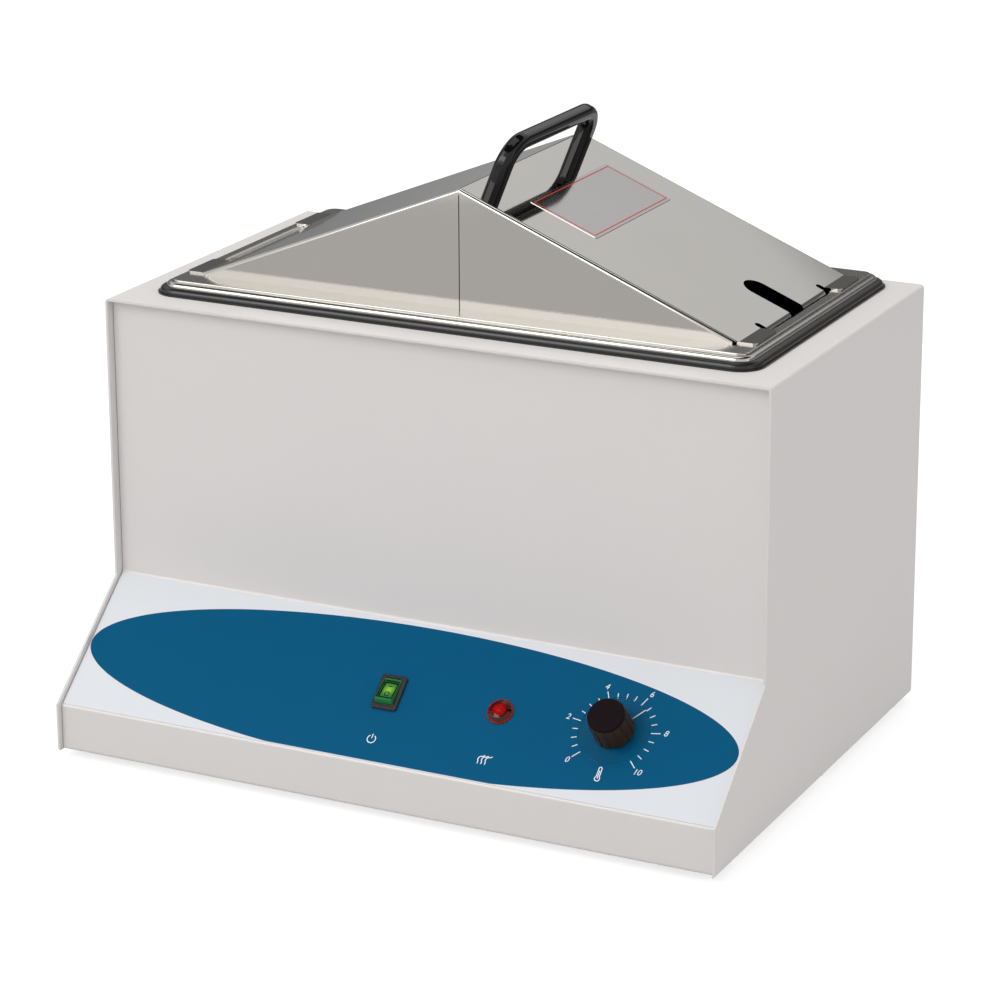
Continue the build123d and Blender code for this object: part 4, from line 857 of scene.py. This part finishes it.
class BATH_OT_console_signs(bpy.types.Operator):
    """Prints a plain sign under the switch, the lamp and the dial"""

    bl_idname = "bath.console_signs"
    bl_label = "Console signs"

    def execute(self, context):
        sizes, colours = context.scene.bath_print, context.scene.bath_colours
        white = ink("White sign ink", colours.white_ink)
        for name, control, strokes, drop in (
            ("switch_sign", "switch_housing", power_strokes(), sizes.sign_drop),
            ("lamp_sign", "lamp_lens", heat_strokes(), sizes.sign_drop),
            ("dial_sign", "dial_disc", temperature_strokes(), sizes.dial_sign_drop),
        ):
            lines = []
            for start, heading, moves in strokes:
                start = [v * MM for v in start]
                moves = [(length * MM, turn) for length, turn in moves]
                stroke(sizes.sign_line, sizes.ink, start, heading, moves)
                lines.append(context.object)
            join_pieces(lines)
            place = seat(
                CONSOLE,
                middle(control, RIGHT),
                middle("dial_disc", CONSOLE_UP) - drop,
                console_top(WHITE_LAYER),
            )
            settle(name, place, white, "base")
        return {"FINISHED"}


class BATH_OT_rocker_marks(bpy.types.Operator):
    """Prints the ring and the bar on the rocker's window, and the dark borders round the window, which are painted
    shade along its recess
    """

    bl_idname = "bath.rocker_marks"
    bl_label = "Rocker marks"

    def execute(self, context):
        sizes, colours = context.scene.bath_print, context.scene.bath_colours
        out = widest_face("switch_rocker", CONSOLE_OUT)
        axes = (RIGHT, out.cross(RIGHT), out)
        mesh = NODES["switch_rocker"].data
        square = [f for f in mesh.polygons if f.normal.dot(out) > SQUARE]
        level = max(square, key=lambda f: f.area).center.dot(out)
        # The window's floor is every face at the level of the largest one.
        floor = [f for f in square if abs(f.center.dot(out) - level) < SAME_LEVEL]
        corners = [mesh.vertices[i].co for f in floor for i in f.vertices]
        spans = [[move(v.dot(axis) for v in corners) for move in (min, max)] for axis in axes[:2]]
        wide, long = (high - low for low, high in spans)
        centre = [sum(span) / 2 for span in spans]
        radius, width, edge = sizes.rocker_ring, sizes.rocker_line, sizes.rocker_border
        stroke(width, sizes.ink, (radius, -sizes.ring_drop), 90, [arc(radius, 360)])
        ring = context.object
        dash_start = (-sizes.rocker_dash / 2, sizes.dash_rise)
        stroke(width, sizes.ink, dash_start, 0, [(sizes.rocker_dash, 0)])
        dash = context.object
        # The two dark borders are painted shade along the recessed window: one round its floor, one round its rim.
        border(wide, long, edge, sizes.ink)
        inner = context.object
        border(wide + 2 * edge, long + 2 * edge, edge, sizes.ink)
        outer = context.object
        outer.data.transform(Matrix.Translation((0, 0, reach("switch_rocker", out)[1] - level)))
        join_pieces([ring, dash, inner, outer])
        dark = ink("Dark rocker ink", colours.mark_ink)
        settle("rocker_marks", seat(axes, *centre, level), dark, "power_rocker")
        return {"FINISHED"}


class BATH_OT_film_frame(bpy.types.Operator):
    """Prints the thin red line on the lid film"""

    bl_idname = "bath.film_frame"
    bl_label = "Lid film frame"

    def execute(self, context):
        sizes, colours = context.scene.bath_print, context.scene.bath_colours
        out = widest_face("lid_label", Vector((0, 0, 1)))
        axes = (BACK.cross(out), BACK, out)
        spans = [reach("lid_label", axis) for axis in axes]
        wide, long = (high - low - 2 * sizes.frame_inset for low, high in spans[:2])
        border(wide, long, sizes.frame_line, sizes.ink)
        place = seat(axes, sum(spans[0]) / 2, sum(spans[1]) / 2, spans[2][1])
        settle("film_frame", place, ink("Red screen ink", colours.red_ink), "lid")
        return {"FINISHED"}


class BATH_OT_finishes(bpy.types.Operator):
    """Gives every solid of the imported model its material"""

    bl_idname = "bath.finishes"
    bl_label = "Finishes"

    def execute(self, context):
        table = finish_table(context.scene.bath_colours)
        made = {}
        for part in frame["record"]["subparts"]:
            slot = part["material_slot"]
            if slot not in made:
                made[slot] = table[slot]()
            mesh = NODES[part["node"]].data
            mesh.materials.clear()
            mesh.materials.append(made[slot])
        return {"FINISHED"}


# Studio

# Sizes of what stands round the object, in metres.
FLOOR_SIZE = 12
WALL_FOOT_RADIUS = 1.25
WALL_TOP_RADIUS = 2.46
WALL_HEIGHT = 2.2
WALL_FRONT = -0.2
BENCH_RADIUS = 1.24
CEILING_RADIUS = 2.6
CEILING_HEIGHT = 3.2
CARD_PLACE = (-0.68, -1.34, 0.85)
CARD_SIZE = (1.3, 0.8)
ROUND_POINTS = 96

# What polished steel and dark plastic mirror: pairs of a share of the wall's height and the light there. The
# back wall and the card change with the height, and the bench and the ceiling are even.
WALL_LEVELS = (
    (0.0, 0.2), (0.027, 0.24), (0.09, 0.45), (0.145, 0.4), (0.227, 0.17), (0.44, 0.15), (0.5, 0.9),
    (0.62, 0.95), (0.8, 0.72),
)
CARD_LEVELS = ((0.0, 0.25), (0.25, 0.28), (0.31, 0.38), (0.35, 0.42), (0.4, 1.0))
BENCH_LEVELS = ((0.0, 0.78),)
CEILING_LEVELS = ((0.0, 0.03),)
CARD_STRENGTH = 6.0

# The paper: how pale it is to the light, how pale its shadow side is, and the light that makes it white.
PAPER_LIT = 0.6
PAPER_SHADE = 0.5
PAPER_GLOW = 0.68

# Name, place and size of each lamp. Its power is in the studio's settings.
LAMPS = (
    ("key_lamp", (-0.75, -1.5, 1.55), 1.1, "key"),
    ("top_lamp", (-0.2, 0.1, 1.9), 1.0, "top"),
    ("side_lamp", (1.9, -0.1, 0.7), 1.0, "side"),
)
SENSOR_WIDTH_MM = 36


def white_for_the_eye(tree, lit, plain):
    """Mixes two shaders: plain for what the camera, mirrors and glass see, and lit for the rest."""
    ray = add_node(tree, "ShaderNodeLightPath").outputs
    seen = ray["Is Camera Ray"]
    for kind in ("Is Glossy Ray", "Is Transmission Ray"):
        seen = add_node(
            tree, "ShaderNodeMath", {"operation": "MAXIMUM"}, links={0: seen, 1: ray[kind]}
        ).outputs["Value"]
    return add_node(tree, "ShaderNodeMixShader", links={0: seen, 1: lit, 2: plain}).outputs["Shader"]


def floor_material():
    """Seamless white paper: pure white in the picture, with a soft shadow under the object."""
    material = new_material("Seamless white paper")
    tree = material.node_tree
    lit, shade = (
        add_node(tree, "ShaderNodeBsdfDiffuse", sockets={"Color": grey(level)}).outputs["BSDF"]
        for level in (PAPER_LIT, PAPER_SHADE)
    )
    glow = add_node(tree, "ShaderNodeEmission", sockets={"Strength": PAPER_GLOW}).outputs["Emission"]
    plain = add_node(tree, "ShaderNodeAddShader", links={0: shade, 1: glow}).outputs["Shader"]
    mixed = white_for_the_eye(tree, lit, plain)
    add_node(tree, "ShaderNodeOutputMaterial", links={"Surface": mixed})
    return material


def glowing(name, levels, strength=1.0):
    """A glow that follows the height, for a piece of the studio that only mirrors see."""
    material = new_material(name)
    tree = material.node_tree
    place = add_node(tree, "ShaderNodeTexCoord").outputs["Object"]
    height = add_node(tree, "ShaderNodeSeparateXYZ", links={"Vector": place}).outputs["Z"]
    share = add_node(
        tree, "ShaderNodeMath", {"operation": "DIVIDE"}, {1: WALL_HEIGHT}, {0: height}
    ).outputs["Value"]
    ramp = add_node(tree, "ShaderNodeValToRGB", links={"Fac": share})
    # Above the last level the glow stays even.
    set_stops(ramp, [(at, grey(level)) for at, level in (*levels, (1.0, levels[-1][1]))])
    glow = add_node(
        tree, "ShaderNodeEmission", sockets={"Strength": strength}, links={"Color": ramp.outputs["Color"]}
    ).outputs["Emission"]
    add_node(tree, "ShaderNodeOutputMaterial", links={"Surface": glow})
    return material


def aim_from(place):
    """The turn that makes a lamp or card at a place face the object's middle."""
    centre = (CAD_BOX[0] + CAD_BOX[1]) / 2
    return (centre - Vector(place)).to_track_quat("-Z", "Y").to_euler()


def only_mirrored(piece):
    """Keeps a piece of the studio for mirror rays alone, so that it neither shows nor shades."""
    piece.visible_camera = piece.visible_diffuse = piece.visible_shadow = False
    piece.visible_transmission = piece.visible_volume_scatter = False


class BATH_OT_studio(bpy.types.Operator):
    """Sets up the floor, the room, the lamps and the camera"""

    bl_idname = "bath.studio"
    bl_label = "Studio"

    def execute(self, context):
        scene, studio = context.scene, context.scene.bath_studio
        start_clean()
        bpy.ops.mesh.primitive_plane_add(size=FLOOR_SIZE)
        floor = context.object
        floor.name = "floor"
        floor.data.materials.append(floor_material())
        bpy.ops.mesh.primitive_cone_add(
            vertices=ROUND_POINTS, radius1=WALL_FOOT_RADIUS, radius2=WALL_TOP_RADIUS, depth=WALL_HEIGHT,
            end_fill_type="NOTHING", location=(0, 0, WALL_HEIGHT / 2),
        )
        walls = context.object
        bpy.ops.object.transform_apply(location=True)
        edit_all()
        bpy.ops.mesh.bisect(plane_co=(0, WALL_FRONT, 0), plane_no=(0, -1, 0), clear_outer=True)
        bpy.ops.object.mode_set(mode="OBJECT")
        rounds = []
        for radius, height in ((BENCH_RADIUS, MM), (CEILING_RADIUS, CEILING_HEIGHT)):
            bpy.ops.mesh.primitive_circle_add(
                vertices=ROUND_POINTS, radius=radius, fill_type="NGON", location=(0, 0, height)
            )
            rounds.append(context.object)
        bench, ceiling = rounds
        bpy.ops.mesh.primitive_plane_add(size=1, location=CARD_PLACE, rotation=aim_from(CARD_PLACE))
        card = context.object
        card.scale = (*CARD_SIZE, 1)
        bpy.ops.object.transform_apply(location=True, rotation=True, scale=True)
        for piece, name, levels, strength in (
            (walls, "studio_walls", WALL_LEVELS, 1.0),
            (bench, "studio_bench", BENCH_LEVELS, 1.0),
            (ceiling, "studio_ceiling", CEILING_LEVELS, 1.0),
            (card, "studio_card", CARD_LEVELS, CARD_STRENGTH),
        ):
            piece.name = name
            piece.data.materials.append(glowing(name, levels, strength))
            only_mirrored(piece)

        world = bpy.data.worlds.new("White room")
        world.use_nodes = True
        tree = world.node_tree
        tree.nodes.clear()
        lit, plain = (
            add_node(
                tree, "ShaderNodeBackground", sockets={"Color": grey(1), "Strength": strength}
            ).outputs["Background"]
            for strength in (studio.sky, 1.0)
        )
        add_node(tree, "ShaderNodeOutputWorld", links={"Surface": white_for_the_eye(tree, lit, plain)})
        scene.world = world

        for name, place, size, power in LAMPS:
            bpy.ops.object.light_add(type="AREA", location=place, rotation=aim_from(place))
            lamp = context.object
            lamp.name = name
            lamp.data.size = size
            lamp.data.energy = getattr(studio, power)

        bpy.ops.object.camera_add(
            location=studio.camera_place,
            rotation=(math.pi / 2 - studio.camera_down, 0, studio.camera_turn),
        )
        camera = context.object
        camera.data.sensor_width = SENSOR_WIDTH_MM
        camera.data.lens = studio.lens
        camera.data.shift_x, camera.data.shift_y = studio.shift
        scene.camera = camera
        scene.view_settings.view_transform = "Standard"
        return {"FINISHED"}


PIECES = (
    BATH_OT_finishes,
    BATH_OT_console_field,
    BATH_OT_dial_scale,
    BATH_OT_dial_pointer,
    BATH_OT_console_signs,
    BATH_OT_rocker_marks,
    BATH_OT_film_frame,
    BATH_OT_studio,
)


class BATH_PT_panel(bpy.types.Panel):
    """Lists the pieces of the water bath and their settings"""

    bl_idname = "BATH_PT_panel"
    bl_label = "Water bath"
    bl_space_type = "VIEW_3D"
    bl_region_type = "UI"
    bl_category = "Water bath"

    def draw(self, context):
        for piece in PIECES:
            self.layout.operator(piece.bl_idname)
        for group in SETTINGS:
            settings = getattr(context.scene, group)
            box = self.layout.box()
            for name in settings.bl_rna.properties.keys():
                if name not in ("rna_type", "name"):
                    box.prop(settings, name)


SETTINGS = {
    "bath_print": BathPrintSettings,
    "bath_colours": BathColourSettings,
    "bath_studio": BathStudioSettings,
}


def register():
    """Adds the classes and the settings."""
    for cls in (*SETTINGS.values(), *PIECES, BATH_PT_panel):
        bpy.utils.register_class(cls)
    for name, cls in SETTINGS.items():
        setattr(bpy.types.Scene, name, bpy.props.PointerProperty(type=cls))


def unregister():
    """Takes the classes and the settings away."""
    for name in SETTINGS:
        delattr(bpy.types.Scene, name)
    for cls in (BATH_PT_panel, *PIECES[::-1], *SETTINGS.values()):
        bpy.utils.unregister_class(cls)


def main():
    """Builds every piece in order."""
    register()
    bpy.ops.bath.finishes()
    bpy.ops.bath.console_field()
    bpy.ops.bath.dial_scale()
    bpy.ops.bath.dial_pointer()
    bpy.ops.bath.console_signs()
    bpy.ops.bath.rocker_marks()
    bpy.ops.bath.film_frame()
    bpy.ops.bath.studio()


if __name__ == "__main__":
    main()
